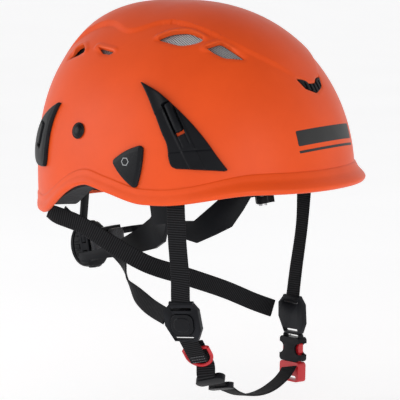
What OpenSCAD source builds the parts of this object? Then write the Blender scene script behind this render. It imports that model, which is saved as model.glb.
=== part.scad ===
// Climbing-style work helmet: shell, liner, rear cradle with a toothed size wheel,
// and a four-point chin strap. +X is the front, +Y the wearer's left, +Z up.
// The origin is the centre of the head at the height of the headband.

/* [Shell] */
// Length of the shell ahead of the origin, without the brim
shell_front = 144; // [130:1:160]
// Length of the shell behind the origin
shell_rear = 125; // [112:1:140]
// Half of the shell's width
shell_half_width = 107; // [96:1:118]
// Height of the crown above the origin
crown_z = 128; // [114:1:140]
// Thickness of the shell
shell_wall = 3; // [2:0.1:4]
// How far the brim stands out at the front
brim_out = 8; // [4:0.5:12]
// How far the raised top band stands up
band_rise = 2; // [1:0.1:3]
// Half of the width of the raised top band
band_half = 46; // [40:1:52]

/* [Liner] */
// Thickness of the foam liner at the sides
liner_side = 18; // [14:1:22]
// Thickness of the foam liner at the front
liner_front = 30; // [24:1:34]
// Gap between the shell and the liner, where the vent mesh lies
mesh_gap = 1.6; // [1.4:0.1:2]

/* [Head band] */
// Height of the front headband
band_height = 24; // [18:1:28]
// Angle at which the rear cradle hangs
cradle_tilt = 10; // [6:1:12]
// Radius of the tilt pins
tilt_pin_r = 3; // [2.4:0.1:3.6]
// Radial clearance of pins that turn in their bores
run_gap = 0.05; // [0.02:0.01:0.08]

/* [Size wheel] */
// Radius of the size wheel
wheel_r = 20.5; // [17:0.5:22]
// Width of the size wheel
wheel_w = 9; // [7:0.5:10]
// Number of grips round the wheel
wheel_grips = 18; // [12:1:24]
// Number of teeth on the pinion
pinion_teeth = 10; // [9:1:11]
// Distance from one rack tooth to the next
tooth_pitch = 3; // [2.8:0.1:3.2]
// Radius of the axle that the wheel turns on
axle_r = 2; // [1.6:0.1:2.4]

/* [Sockets] */
// Radius of the visor socket's bore
socket_r = 3.6; // [3:0.1:4.2]
// Depth of the visor socket
socket_depth = 12; // [10:0.5:15]

/* [Straps] */
// Width of the webbing
web_w = 16; // [12:0.5:18]
// Thickness of the webbing
web_t = 1.6; // [1.2:0.1:2]

/* [Buckle] */
// Width of the buckle
buckle_w = 23; // [21:0.5:26]
// Thickness of the buckle
buckle_t = 10; // [9:0.5:12]

/* [Hidden] */

// Colours
c_shell = [0.89, 0.33, 0.16];
c_black = [0.09, 0.09, 0.10];
c_foam = [0.16, 0.16, 0.17];
c_pad = [0.22, 0.22, 0.24];
c_mesh = [0.62, 0.63, 0.64];
c_web = [0.13, 0.13, 0.13];
c_red = [0.80, 0.10, 0.14];
c_steel = [0.70, 0.70, 0.72];

// Shape of the shell: plan exponent, height of the widest level, and roundness of the profile
plan_n = 2.25;
widest_z = -14;
front_m = 2.15;
side_m = 2.05;
rear_m = 2.55;
// Height of the rim, and the angles from the front between which it changes
rim_front = -12.5;
rim_cheek = -23;
rim_ear = -11;
rim_nape = -41;
// Outer face of the shell, its inner face, and both faces of the liner, as
// [front, rear, half width, crown]
g_out = [shell_front, shell_rear, shell_half_width, crown_z];
g_in = [for (v = g_out) v - shell_wall];
g_foam = [for (v = g_in) v - mesh_gap];
g_room = [g_foam[0] - liner_front, g_foam[1] - 22, g_foam[2] - liner_side, g_foam[3] - 20];
// Divisions round the shell and from the crown down
n_round = 60;
n_down = 12;

function ss(a, b, v) = let (t = max(0, min(1, (v - a) / (b - a)))) t * t * (3 - 2 * t);
function spow(v, e) = sign(v) * pow(abs(v), e);
function unit(v) = v / norm(v);
function fold(f) = let (g = abs(f) % 360) g > 180 ? 360 - g : g;
function rim_z(f) = let (v = fold(f)) rim_front + (rim_cheek - rim_front) * ss(38, 75, v)
    + (rim_ear - rim_cheek) * ss(78, 99, v) + (rim_nape - rim_ear) * ss(96, 130, v);
function crease_h(f) = 15 - 3.5 * ss(30, 74, fold(f)) + 2 * ss(100, 135, fold(f));
function rim_out(f) = let (v = fold(f)) brim_out + (2.5 - brim_out) * ss(35, 75, v) - 1 * ss(110, 150, v);
function liner_z(f) = let (v = fold(f)) rim_front + 5 + (rim_cheek - rim_front) * ss(38, 75, v)
    + (rim_ear - rim_cheek - 8) * ss(78, 99, v) + (rim_nape - rim_ear + 8) * ss(96, 130, v);

// A point of a shell-like surface g at plan angle f and height z
function skin(f, z, g) = let (
    c = cos(f), s = sin(f), a = c >= 0 ? g[0] : g[1],
    m = side_m + ((c >= 0 ? front_m : rear_m) - side_m) * c * c,
    q = min(1, abs(z - widest_z) / (g[3] - widest_z)),
    r = pow(max(0, 1 - pow(q, m)), 1 / m)
) [a * spow(c, 2 / plan_n) * r, g[2] * spow(s, 2 / plan_n) * r, z];

// Outward normal of the shell's outer face
function skin_n(f, z) = unit(cross(
    skin(f + 0.2, z, g_out) - skin(f - 0.2, z, g_out),
    skin(f, z + 0.2, g_out) - skin(f, z - 0.2, g_out)));
function skin_off(f, z, d) = skin(f, z, g_out) + d * skin_n(f, z);

// Rise of the top band at x, y
function band_w(x) = x > 20
    ? band_half * (1 - pow((x - 20) / (shell_front - 38), 4.3))
    : band_half + 12 * exp(-pow((x + 12) / 20, 2));
function band_up(p) = let (w = band_w(p[0]))
    (band_rise + 1.5 * ss(0, 60, -p[0])) * ss(w + 2, w - 2, abs(p[1])) * ss(-96, -66, p[0])
    * ss(122, 104, p[0]);

// Height on surface g at step t, from 0 at the crown to 1 at height z1
function down_z(t, z1, g) = let (e = asin((z1 - widest_z) / (g[3] - widest_z)))
    widest_z + (g[3] - widest_z) * sin(90 - t * (90 - e));
function ring(g, t, zfun, up) = [for (i = [0 : n_round - 1]) let (
    f = 360 * i / n_round, p = skin(f, down_z(t, zfun == 0 ? rim_z(f) + crease_h(f) : liner_z(f), g), g))
    p + [0, 0, up ? band_up(p) : 0]];
function rim_ring(g, drop, out) = [for (i = [0 : n_round - 1]) let (
    f = 360 * i / n_round, z = rim_z(f) + crease_h(f) * (1 - drop), n = skin_n(f, 0),
    h = unit([n[0], n[1], 0])) skin(f, z, g) + h * out * rim_out(f)];

// A closed skin through rings, with a pole at each end; the rings run from the outer
// crown down, round the rim and up to the inner crown
module lathe_skin(rings, top, bottom) {
    m = len(rings);
    n = len(rings[0]);
    pts = concat([top], [for (r = rings) for (p = r) p], [bottom]);
    faces = concat(
        [for (i = [0 : n - 1]) [0, 1 + (i + 1) % n, 1 + i]],
        [for (k = [0 : m - 2]) for (i = [0 : n - 1]) let (
            a = 1 + k * n + i, b = 1 + k * n + (i + 1) % n) each [[a, b, b + n], [a, b + n, a + n]]],
        [for (i = [0 : n - 1]) [1 + m * n, 1 + (m - 1) * n + i, 1 + (m - 1) * n + (i + 1) % n]]);
    polyhedron(pts, faces, convexity = 6);
}

// A closed curved sheet over the shell between angles f0, f1 and heights z0, z1,
// from lo to hi above the outer face
module skin_patch(f0, f1, z0, z1, lo, hi, nu, nv) {
    n = nu + 1;
    half = n * (nv + 1);
    pts = [for (d = [lo, hi]) for (j = [0 : nv]) for (i = [0 : nu])
        skin_off(f0 + (f1 - f0) * i / nu, z0 + (z1 - z0) * j / nv, d)];
    cells = [for (j = [0 : nv - 1]) for (i = [0 : nu - 1]) j * n + i];
    rim = concat([for (i = [0 : nu - 1]) i], [for (j = [0 : nv - 1]) j * n + nu],
        [for (i = [nu : -1 : 1]) nv * n + i], [for (j = [nv : -1 : 1]) j * n]);
    faces = concat(
        [for (c = cells) each [[half + c, half + c + n + 1, half + c + 1],
            [half + c, half + c + n, half + c + n + 1]]],
        [for (c = cells) each [[c, c + 1, c + n + 1], [c, c + n + 1, c + n]]],
        [for (k = [0 : len(rim) - 1]) let (a = rim[k], b = rim[(k + 1) % len(rim)])
            each [[a, half + b, b], [a, half + a, half + b]]]);
    polyhedron(pts, faces, convexity = 4);
}

// Puts children on the shell at angle f and height z: their +Z points out and +Y up the shell
module on_skin(f, z) {
    n = skin_n(f, z);
    o = skin(f, z, g_out);
    u = unit([0, 0, 1] - n * n[2]);
    r = cross(u, n);
    multmatrix([[r[0], u[0], n[0], o[0]], [r[1], u[1], n[1], o[1]], [r[2], u[2], n[2], o[2]], [0, 0, 0, 1]])
        children();
}

// Puts children at o: their -Y runs along down and their +Z faces face
module place(o, down, face) {
    y = -unit(down);
    z = unit(face - y * (face * y));
    x = cross(y, z);
    multmatrix([[x[0], y[0], z[0], o[0]], [x[1], y[1], z[1], o[1]], [x[2], y[2], z[2], o[2]], [0, 0, 0, 1]])
        children();
}

module mirror_left() { mirror([0, 1, 0]) children(); }

// An outline raised from z = a to z = b
module prism(outline, a, b) { translate([0, 0, a]) linear_extrude(b - a) polygon(outline); }

// A box with rounded vertical edges, centred on x and y
module round_box(w, h, r, a, b) {
    translate([0, 0, a]) linear_extrude(b - a) union() {
        square([w - 2 * r, h], center = true);
        square([w, h - 2 * r], center = true);
        for (sx = [-1, 1]) for (sy = [-1, 1])
            translate([sx * (w / 2 - r), sy * (h / 2 - r)]) circle(r, $fn = 32);
    }
}

// Vents on the right side, in each one's own plane
vent_side = [[-24, 0], [-12, 6.5], [2.5, 8], [18, 0.5], [10, -5.5], [-1.5, -8]];
vent_front = [[-17.5, 4], [-4, 9], [15, -8], [-2, -7]];
vent_small = [[-11, 3.5], [10, 0], [6, -3], [-2, -2.5]];
vent_rear = [[-9, -7], [-5, 4.5], [4, 8.5], [14, 2]];
insert_out = [[-17, 7.5], [-9, 5.5], [-4, 1.5], [4, 1.5], [9, 5.5], [17, 7.5],
    [12, -2.5], [0, -7.5], [-12, -2.5]];
// The insert is drawn in a little towards this point to clear its hole all round
insert_mid = [0, -4];
insert_share = 0.92;
insert_fit = [for (p = insert_out) insert_mid + insert_share * (p - insert_mid)];

module vent_cut(lo, grow) {
    on_skin(-65, 102.5) prism(vent_side * grow, lo, 8);
    on_skin(-42, 93.5) prism(vent_front * grow, lo, 8);
    on_skin(-106, 91) prism(vent_small * grow, lo, 8);
    on_skin(-130, 88) prism(vent_rear * grow, lo, 8);
}

// Places that several pieces share
rivet_f = -103;
rivet_zz = 29;
cap_f = -81.5;
cap_zz = 6;
cap_pin = [-4, 1];
// Outer radius of the visor socket, of the cap's skirt round it, and of the hole for both
socket_out = socket_r + 2.4;
skirt_out = socket_out + 1.4;
skirt_hole = skirt_out + 0.4;
insert_zz = 66;
tilt_x = 22;
tilt_z = 2;
strap_x = 57;
post_half = 4;

// ---- Shell group ----
module shell() {
    color(c_shell) difference() {
        lathe_skin(concat(
            [for (k = [1 : n_down]) ring(g_out, k / n_down, 0, true)],
            [rim_ring(g_out, 0.35, 0.35), rim_ring(g_out, 0.62, 0.85), rim_ring(g_out, 0.82, 1.1),
             rim_ring(g_out, 1, 0.9)],
            [rim_ring(g_in, 1, 0.6), rim_ring(g_in, 0.35, 0.1)],
            [for (k = [n_down : -1 : 1]) ring(g_in, k / n_down, 0, false)]),
            [0, 0, crown_z + band_rise], [0, 0, crown_z - shell_wall]);
        vent_cut(-12, 1);
        mirror_left() vent_cut(-12, 1);
        on_skin(0, insert_zz) prism(insert_out, -9, 8);
        for (m = [0, 1]) mirror([0, m, 0]) {
            on_skin(rivet_f, rivet_zz) translate([0, 0, -10]) cylinder(r = 3.1, h = 20, $fn = 48);
            on_skin(cap_f, cap_zz) translate([cap_pin[0], cap_pin[1], -10])
                cylinder(r = skirt_hole, h = 20, $fn = 48);
        }
    }
}

module liner() {
    difference() {
        lathe_skin(concat(
            [for (k = [2 : 2 : n_down]) ring(g_foam, k / n_down, 1, false)],
            [for (k = [n_down : -2 : 2]) ring(g_room, k / n_down, 1, false)]),
            [0, 0, g_foam[3]], [0, 0, g_room[3]]);
        for (m = [0, 1]) mirror([0, m, 0]) {
            on_skin(-65, 102.5) prism(vent_side * 0.8, -60, 2);
            on_skin(-42, 93.5) prism(vent_front * 0.8, -60, 2);
            on_skin(-130, 88) prism(vent_rear * 1.1, -60, 2);
            on_skin(rivet_f, rivet_zz) translate([0, 0, -16]) cylinder(r = 6.5, h = 20, $fn = 48);
            on_skin(cap_f, cap_zz) translate([cap_pin[0], cap_pin[1], -socket_depth - 3])
                cylinder(r = skirt_hole, h = 30, $fn = 48);
            // Pocket for the front strap
            translate([strap_x - web_w / 2 - 2, -shell_half_width + 10, -40]) cube([web_w + 4, 8, 48]);
            // Square pocket for the end of the tilt pin
            translate([tilt_x - tilt_pin_r - 1.5, -link_y - 14, tilt_z - tilt_pin_r - 1.5])
                cube([2 * tilt_pin_r + 3, 14, 2 * tilt_pin_r + 3]);
        }
        // Pocket that the cradle's hanger post slides in
        translate([-shell_rear, -post_half - 3, -50]) cube([36, 2 * post_half + 6, 57]);
    }
}

// The liner is moulded in five blocks that meet face to face
block_x = 44;
block_z = 76;
module block(a, b) { color(c_foam) intersection() { liner(); translate(a) cube(b - a); } }
module liner_front() { block([block_x, -200, -200], [200, 200, block_z]); }
module liner_rear() { block([-200, -200, -200], [-block_x, 200, block_z]); }
module liner_right() { block([-block_x, -200, -200], [block_x, 0, block_z]); }
module liner_left() { block([-block_x, 0, -200], [block_x, 200, block_z]); }
module liner_crown() { block([-200, -200, block_z], [200, 200, 200]); }

module front_vent_insert() {
    color(c_black) difference() {
        on_skin(0, insert_zz) prism(insert_fit, -4.4, 0.4);
        for (k = [-2 : 2]) on_skin(0, insert_zz) translate([k * 5 - 0.9, -6, -6]) cube([1.8, 9, 5]);
    }
}

module vent_mesh_right() {
    color(c_mesh) skin_patch(-124, -33, 78, 110, -shell_wall - 1.4, -shell_wall - 0.7, 30, 5);
}

// Front lamp clip: a swoosh with a sprung tongue down its middle
clip_f = -66;
clip_zz = 25;
clip_out = [[-38, 47], [-20, 38], [-5, 27], [9, 15], [21, 2.5], [31, -10], [38.5, -19], [36, -20],
    [-1, -20], [-5, -18], [-7.5, -12], [-9.5, -2], [-15, 8], [-22, 22], [-30, 36]];
// The tongue's tip, its lean from upright, and its size
tongue_tip = [0.5, 8];
tongue_lean = 30;
tongue_w = 6;
tongue_len = 25;
slot_gap = 2.2;

module tongue_plane() { on_skin(clip_f, clip_zz) translate(tongue_tip) rotate([0, 0, tongue_lean]) children(); }

module lamp_clip_front_right() {
    color(c_black) difference() {
        intersection() {
            skin_patch(-88, -44, -2, 76, 0.3, 3.8, 12, 10);
            on_skin(clip_f, clip_zz) prism(clip_out, -20, 12);
        }
        tongue_plane() translate([-tongue_w / 2 - slot_gap, -6, -20])
            cube([tongue_w + 2 * slot_gap, tongue_len + 6, 32]);
    }
}

module lamp_tongue_front_right() {
    color(c_black) intersection() {
        skin_patch(-88, -44, -2, 76, 0.4, 4.8, 12, 10);
        tongue_plane() translate([-tongue_w / 2, 0, -20]) cube([tongue_w, tongue_len - 0.4, 32]);
    }
}

// Rear lamp clip: a narrow blade with a short sprung tongue
rear_f = -126;
rear_zz = 22;
rear_out = [[15, 28], [5, 23], [-8, 14], [-18, 3], [-24, -10], [-22, -19], [-12, -25], [2, -25.5], [6, -22],
    [7, -8], [8, 6], [11, 18]];
rear_tip = [-9, -8];
rear_tongue_len = 18;
rear_tongue_w = 5;
rear_lean = -14;

module rear_plane() { on_skin(rear_f, rear_zz) translate(rear_tip) rotate([0, 0, rear_lean]) children(); }

module lamp_clip_rear_right() {
    color(c_black) difference() {
        intersection() {
            skin_patch(-148, -110, -8, 56, 0.3, 3.6, 10, 8);
            on_skin(rear_f, rear_zz) prism(rear_out, -20, 12);
        }
        rear_plane() translate([-rear_tongue_w / 2 - 1.6, -3, -20])
            cube([rear_tongue_w + 3.2, rear_tongue_len + 3, 32]);
    }
}

module lamp_tongue_rear_right() {
    color(c_black) intersection() {
        skin_patch(-148, -110, -8, 56, 0.4, 4.4, 10, 8);
        rear_plane() translate([-rear_tongue_w / 2, 0, -20]) cube([rear_tongue_w, rear_tongue_len - 0.4, 32]);
    }
}

// Cap over the visor socket: a rounded triangle with a skirt that grips the socket
cap_corners = [[-15, 1.5, 3.5], [5, 12, 3.5], [1.5, -13.5, 3.5]];
cap_skirt = 4;

module cap_outline() { hull() for (c = cap_corners) translate([c[0], c[1]]) circle(c[2], $fn = 32); }

module visor_cap_right() {
    color(c_black) union() {
        intersection() {
            skin_patch(-93, -70, -18, 30, 0.3, 3, 8, 8);
            on_skin(cap_f, cap_zz) translate([0, 0, -10]) linear_extrude(20) cap_outline();
        }
        on_skin(cap_f, cap_zz) translate([cap_pin[0], cap_pin[1], -cap_skirt]) difference() {
            cylinder(r = skirt_out, h = cap_skirt + 1.2, $fn = 64);
            translate([0, 0, -1]) cylinder(r = socket_out + run_gap, h = cap_skirt + 1.2, $fn = 64);
        }
    }
}

module visor_socket_right() {
    color(c_black) on_skin(cap_f, cap_zz) translate([cap_pin[0], cap_pin[1], -socket_depth]) difference() {
        union() {
            cylinder(r = socket_out, h = socket_depth - 0.6, $fn = 64);
            cylinder(r = socket_out + 1, h = 3, $fn = 64);
        }
        translate([0, 0, -1]) cylinder(r = socket_r, h = socket_depth + 2, $fn = 64);
    }
}

module rivet_right() {
    color(c_black) on_skin(rivet_f, rivet_zz) rotate_extrude($fn = 64)
        polygon(concat([[0, -15], [3, -15], [3, 0.4], [6.5, 0.4], [6.5, 1.4]],
            [for (a = [0 : 15 : 75]) [5.6 * cos(a), 1.6 + 2.2 * sin(a)]], [[0, 3.8]]));
}

pad_r = 29;
// Height of the liner's inner face over the crown pad's edge
pad_z = widest_z + (g_room[3] - widest_z) * pow(1 - pow(pad_r / g_room[2], side_m), 1 / side_m);
module crown_pad() {
    color(c_pad) translate([0, 0, pad_z - 4.4]) rotate_extrude($fn = 64)
        polygon([[0, 0], [pad_r - 3, -2], [pad_r, 0], [pad_r - 1, 3], [0, 6]]);
}

// ---- Head band ----
hb_t = 1.6;
hb_top = tilt_z + band_height / 2 + 2;
// The liner closes in by this share up to the band's upper edge
hb_in = pow(1 - pow((hb_top - widest_z) / (g_room[3] - widest_z), side_m), 1 / side_m);
hb = [for (k = [0 : 2]) g_room[k] * hb_in - 1.2];
function plan_pt(f, g, d) = let (c = cos(f), s = sin(f))
    [(c >= 0 ? g[0] - d : g[1] - d) * spow(c, 2 / plan_n), (g[2] - d) * spow(s, 2 / plan_n)];
module plan_strip(g, d0, d1, f1, n) {
    polygon(concat([for (i = [-n : n]) plan_pt(f1 * i / n, g, d0)],
        [for (i = [n : -1 : -n]) plan_pt(f1 * i / n, g, d1)]));
}

module headband() {
    color(c_black) difference() {
        translate([0, 0, hb_top - band_height]) linear_extrude(band_height) plan_strip(hb, 0, hb_t, 88, 22);
        for (m = [-1, 1]) translate([tilt_x, m * 90, tilt_z]) rotate([m * 90, 0, 0])
            cylinder(r = tilt_pin_r + run_gap, h = 30, $fn = 48);
    }
}

module brow_pad() {
    color(c_pad) translate([0, 0, hb_top - band_height + 2]) linear_extrude(band_height - 4)
        plan_strip(hb, hb_t + 0.2, hb_t + 6, 52, 14);
}

link_y = hb[2] - hb_t - 4.5;
link_t = 2.4;
module tilt_pin_right() {
    color(c_steel) translate([tilt_x, -link_y, tilt_z]) rotate([90, 0, 0]) rotate_extrude($fn = 64)
        polygon([[0, -link_t - 2.4], [5.5, -link_t - 2], [5.5, -link_t - 0.4], [tilt_pin_r, -link_t - 0.4],
    [tilt_pin_r, 12], [0, 12]]);
}

// ---- Rear cradle, drawn level in its own frame and hung at its tilt ----
module in_cradle() { translate([tilt_x, 0, tilt_z]) rotate([0, -cradle_tilt, 0]) children(); }
hinge_x = 5;
hinge_y = link_y - 12.6;
hinge_lo = -39.5;
hinge_hi = -26.5;
hinge_pin_r = 2;
nape_r = 131;
nape_z = -61;
rack_t = 3;
pitch_r = pinion_teeth * tooth_pitch / (2 * PI);
tooth_up = 0.95;
tooth_down = 1.35;
// Half of the gap between rack teeth at its root and at its mouth
gap_root = 0.57;
gap_mouth = 1.18;
box_half = 13;
box_y = 24;
// Plan route of the right arm, with the lower and upper edge at each point
arm_route = [[2, -hinge_y - 0.5, -39.5, -26.5], [-4, -hinge_y + 3, -39.5, -26.5],
    [-10, -hinge_y + 7.5, -49, -28], [-20, -hinge_y + 14, -62, -32],
    [-34, -42.5, -67, -42], [-52, -39.5, -69, -50], [-74, -39, -71, -58], [-95, -39.5, -71, -63],
    [-110, -39, -71, -64.5], [-118.5, -36.8, -71, -65.5], [-121.7, -33, -71, -65.5], [-124.1, -22, -71, -65.5]];

module temple_link_right() {
    color(c_black) in_cradle() difference() {
        union() {
            translate([0, -link_y + link_t, 0]) rotate([90, 0, 0]) linear_extrude(link_t) union() {
                circle(9, $fn = 64);
                translate([-9, -46]) square([18, 46]);
            }
            for (z = [hinge_lo - 6.4, hinge_hi + 0.4]) translate([0, 0, z]) {
                translate([1, -link_y + 0.4, 0]) cube([8, link_y - hinge_y, 6]);
                translate([hinge_x, -hinge_y, 0]) cylinder(r = 5, h = 6, $fn = 64);
            }
        }
        translate([0, -60, 0]) rotate([90, 0, 0]) cylinder(r = tilt_pin_r + run_gap, h = 30, $fn = 64);
        translate([hinge_x, -hinge_y, -60]) cylinder(r = hinge_pin_r + run_gap, h = 60, $fn = 64);
    }
}

module arm_pin_right() {
    color(c_steel) in_cradle() translate([hinge_x, -hinge_y, hinge_lo - 6.8]) union() {
        cylinder(r = hinge_pin_r, h = hinge_hi - hinge_lo + 13.8, $fn = 64);
        translate([0, 0, -1.2]) cylinder(r = 3.6, h = 1.5, $fn = 64);
    }
}

// Faces of a bar with n four-cornered sections
function bar_faces(n) = concat([[2, 1, 0], [3, 2, 0]],
    [for (i = [0 : n - 2]) for (k = [0 : 3]) let (a = 4 * i + k, b = 4 * i + (k + 1) % 4)
        each [[b + 4, a + 4, a], [b, b + 4, a]]],
    [[4 * n - 3, 4 * n - 2, 4 * n - 4], [4 * n - 2, 4 * n - 1, 4 * n - 4]]);

// A plate of thickness t standing on a plan route
module plate_route(route, t) {
    n = len(route);
    pts = [for (i = [0 : n - 1]) let (
        p = route[i], a = route[max(0, i - 1)], b = route[min(n - 1, i + 1)],
        d = unit([b[0] - a[0], b[1] - a[1]]), s = [-d[1], d[0]] * t / 2)
        each [[p[0] + s[0], p[1] + s[1], p[2]], [p[0] - s[0], p[1] - s[1], p[2]],
              [p[0] - s[0], p[1] - s[1], p[3]], [p[0] + s[0], p[1] + s[1], p[3]]]];
    polyhedron(pts, bar_faces(n), convexity = 6);
}

// Outline of a strip bent round the origin about the -X axis, between radii r0 and r1
function bent(r0, r1, a) = concat([for (i = [-8 : 8]) r0 * [-cos(a * i / 8), sin(a * i / 8)]],
    [for (i = [8 : -1 : -8]) r1 * [-cos(a * i / 8), sin(a * i / 8)]]);

// An arm: side is -1 for the right arm with the lower rack, 1 for the left with the upper one
module arm(side) {
    reach = asin(24 / nape_r);
    low = side < 0 ? nape_z - pitch_r - tooth_down - 3.9 : nape_z + pitch_r - tooth_up;
    tall = tooth_up + tooth_down + 3.9;
    step = tooth_pitch / nape_r * 180 / PI;
    phase = side < 0 && pinion_teeth % 2 == 1 ? 0.5 : 0;
    route = side < 0 ? arm_route
        : [for (p = arm_route) let (flip = p[0] < -40)
            [p[0], -p[1], flip ? 2 * nape_z - p[3] : p[2], flip ? 2 * nape_z - p[2] : p[3]]];
    in_cradle() difference() {
        union() {
            plate_route(route, rack_t);
            translate([hinge_x, side * hinge_y, hinge_lo]) cylinder(r = 5, h = hinge_hi - hinge_lo, $fn = 64);
            translate([hinge_x, 0, low]) linear_extrude(tall)
                polygon(bent(nape_r - rack_t / 2, nape_r + rack_t / 2, reach));
        }
        translate([hinge_x, side * hinge_y, -60]) cylinder(r = hinge_pin_r + run_gap, h = 60, $fn = 64);
        // Gaps between the teeth: one is straight above or below the pinion
        for (i = [-7 : 7]) translate([hinge_x, 0, nape_z + side * pitch_r])
            rotate([0, 0, 180 + (i + phase) * step]) translate([nape_r - 3, 0, 0]) rotate([90, 0, 90])
            linear_extrude(6) polygon([[-gap_root, side * tooth_down], [gap_root, side * tooth_down],
                [gap_mouth, -side * (tooth_up + 0.2)], [-gap_mouth, -side * (tooth_up + 0.2)]]);
        // Lightening slot in the lobe
        translate([-26, side * 60, -56]) rotate([side * -90, 0, 0]) cylinder(r = 2.4, h = 30, $fn = 32);
    }
}
module arm_right() { color(c_black) arm(-1); }
module arm_left() { color(c_black) arm(1); }

module nape_housing() {
    wide = asin(box_y / nape_r);
    color(c_black) in_cradle() difference() {
        translate([hinge_x, 0, nape_z - box_half]) linear_extrude(2 * box_half)
            polygon(bent(nape_r - 4, nape_r + 4, wide));
        for (z = [nape_z - 10.8, nape_z + 3])
            translate([hinge_x, 0, z]) linear_extrude(7.8) polygon(bent(nape_r - 2, nape_r + 2, wide + 2));
        translate([hinge_x - nape_r - 2, 0, nape_z]) rotate([0, 90, 0]) cylinder(r = 6.4, h = 4, $fn = 64);
        translate([hinge_x - nape_r - 6, 0, nape_z]) rotate([0, 90, 0]) cylinder(r = 3.9, h = 6, $fn = 64);
        translate([hinge_x - nape_r - 6, 0, nape_z]) rotate([0, 90, 0])
            cylinder(r = axle_r + 0.01, h = 16, $fn = 64);
    }
}

// Stack along the wheel's axis, from the housing's rear wall backwards
wheel_x0 = hinge_x - nape_r - 4.6;
wheel_x1 = wheel_x0 - wheel_w;
plate_x0 = wheel_x1 - 0.6;
plate_t = 3;

module pinion() {
    c = 360 / pinion_teeth;
    color(c_red) in_cradle() translate([hinge_x - nape_r, 0, nape_z]) rotate([0, -90, 0]) difference() {
        union() {
            translate([0, 0, -1.7]) linear_extrude(3.4) polygon([for (i = [0 : pinion_teeth - 1]) each [
                for (q = [[-0.30, -1.3], [-0.14, 0.85], [0.14, 0.85], [0.30, -1.3]])
                    let (a = c * (i + q[0])) (pitch_r + q[1]) * [cos(a), sin(a)]]]);
            cylinder(r = 3.5, h = 4.6, $fn = 64);
        }
        translate([0, 0, -5]) cylinder(r = axle_r + run_gap, h = 12, $fn = 64);
    }
}

module size_knob() {
    color(c_black) in_cradle() translate([wheel_x0, 0, nape_z]) rotate([0, -90, 0]) difference() {
        rotate_extrude($fn = 96) polygon([[0, 0], [wheel_r - 2, 0], [wheel_r, 2], [wheel_r, wheel_w - 2],
            [wheel_r - 2, wheel_w], [13, wheel_w], [13, wheel_w - 2], [0, wheel_w - 2]]);
        for (i = [0 : wheel_grips - 1]) rotate([0, 0, 360 * i / wheel_grips]) translate([wheel_r + 1, 0, -1])
            cylinder(r = 2.1, h = wheel_w + 2, $fn = 24);
        translate([0, 0, -1]) cylinder(r = axle_r + run_gap, h = wheel_w + 2, $fn = 64);
    }
}

module cover_plate() {
    color(c_black) in_cradle() difference() {
        union() {
            translate([plate_x0, 0, nape_z]) rotate([0, -90, 0])
                cylinder(r = wheel_r - 1.5, h = plate_t, $fn = 96);
            // Hanger post, cranked forward so that it hangs upright
            translate([0, post_half, 0]) rotate([90, 0, 0]) linear_extrude(2 * post_half)
                polygon([[plate_x0 - plate_t, nape_z + 14], [plate_x0, nape_z + 14], [plate_x0, -42],
                    [-131, -10], [-126.6, 5], [-129.6, 6], [-134, -9], [plate_x0 - plate_t, -42]]);
        }
        translate([plate_x0 - 10, 0, nape_z]) rotate([0, 90, 0]) cylinder(r = axle_r + 0.01, h = 20, $fn = 64);
    }
}

module knob_axle() {
    color(c_steel) in_cradle() translate([hinge_x - nape_r + 4.2, 0, nape_z]) rotate([0, -90, 0]) union() {
        cylinder(r = axle_r, h = 4.2 + 4.6 + wheel_w + 0.6 + plate_t, $fn = 64);
        translate([0, 0, -1.5]) cylinder(r = 4.5, h = 1.6, $fn = 64);
    }
}

module nape_pad_right() {
    color(c_pad) in_cradle() translate([hinge_x, 0, nape_z - box_half + 2]) rotate([0, 0, 182.5])
        rotate_extrude(angle = 7.5, $fn = 180) translate([nape_r - 10, 0]) square([5.6, 2 * box_half - 4]);
}

// ---- Chin strap ----
function cr(a, b, c, d, t) = 0.5 * ((2 * b) + (c - a) * t + (2 * a - 5 * b + 4 * c - d) * t * t
    + (3 * b - a - 3 * c + d) * t * t * t);
function smooth(p, k) = let (n = len(p)) [for (i = [0 : n - 2]) for (j = [0 : k - 1 + (i == n - 2 ? 1 : 0)])
    cr(p[max(0, i - 1)], p[i], p[i + 1], p[min(n - 1, i + 2)], j / k)];

// Webbing along a route, facing the way that face says at each of its points
module webbing(route, face, w, t) {
    k = 4;
    p = smooth(route, k);
    q = smooth(face, k);
    n = len(p);
    pts = [for (i = [0 : n - 1]) let (
        d = unit(p[min(n - 1, i + 1)] - p[max(0, i - 1)]), f = unit(q[i] - d * (q[i] * d)), s = cross(d, f))
        each [p[i] + s * w / 2 + f * t / 2, p[i] - s * w / 2 + f * t / 2,
              p[i] - s * w / 2 - f * t / 2, p[i] + s * w / 2 - f * t / 2]];
    polyhedron(pts, bar_faces(n), convexity = 8);
}

// Where the hardware hangs: place, way down, way it faces
div_r = [[55, -80, -118], [0.03, 0.16, -1], [0.25, -1, -0.1]];
div_l = [[55, 79, -138.5], [0.03, -0.04, -1], [0.25, 1, 0]];
ring_at = [[57.5, -68, -144], [0.08, 0.55, -0.83], [0.3, -0.8, -0.5]];
slider_at = [[60, -50, -169], [0.1, 0.85, -0.6], [0.3, -0.6, -0.8]];
keeper_at = [[60.5, -36, -177], [0.05, 0.9, -0.35], [0.2, -0.35, -0.9]];
sock_at = [[56, 78, -167.3], [0.02, -0.06, -1], [0.25, 1, 0]];
function at(p, s) = p[0] + unit(p[1]) * s;

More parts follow.
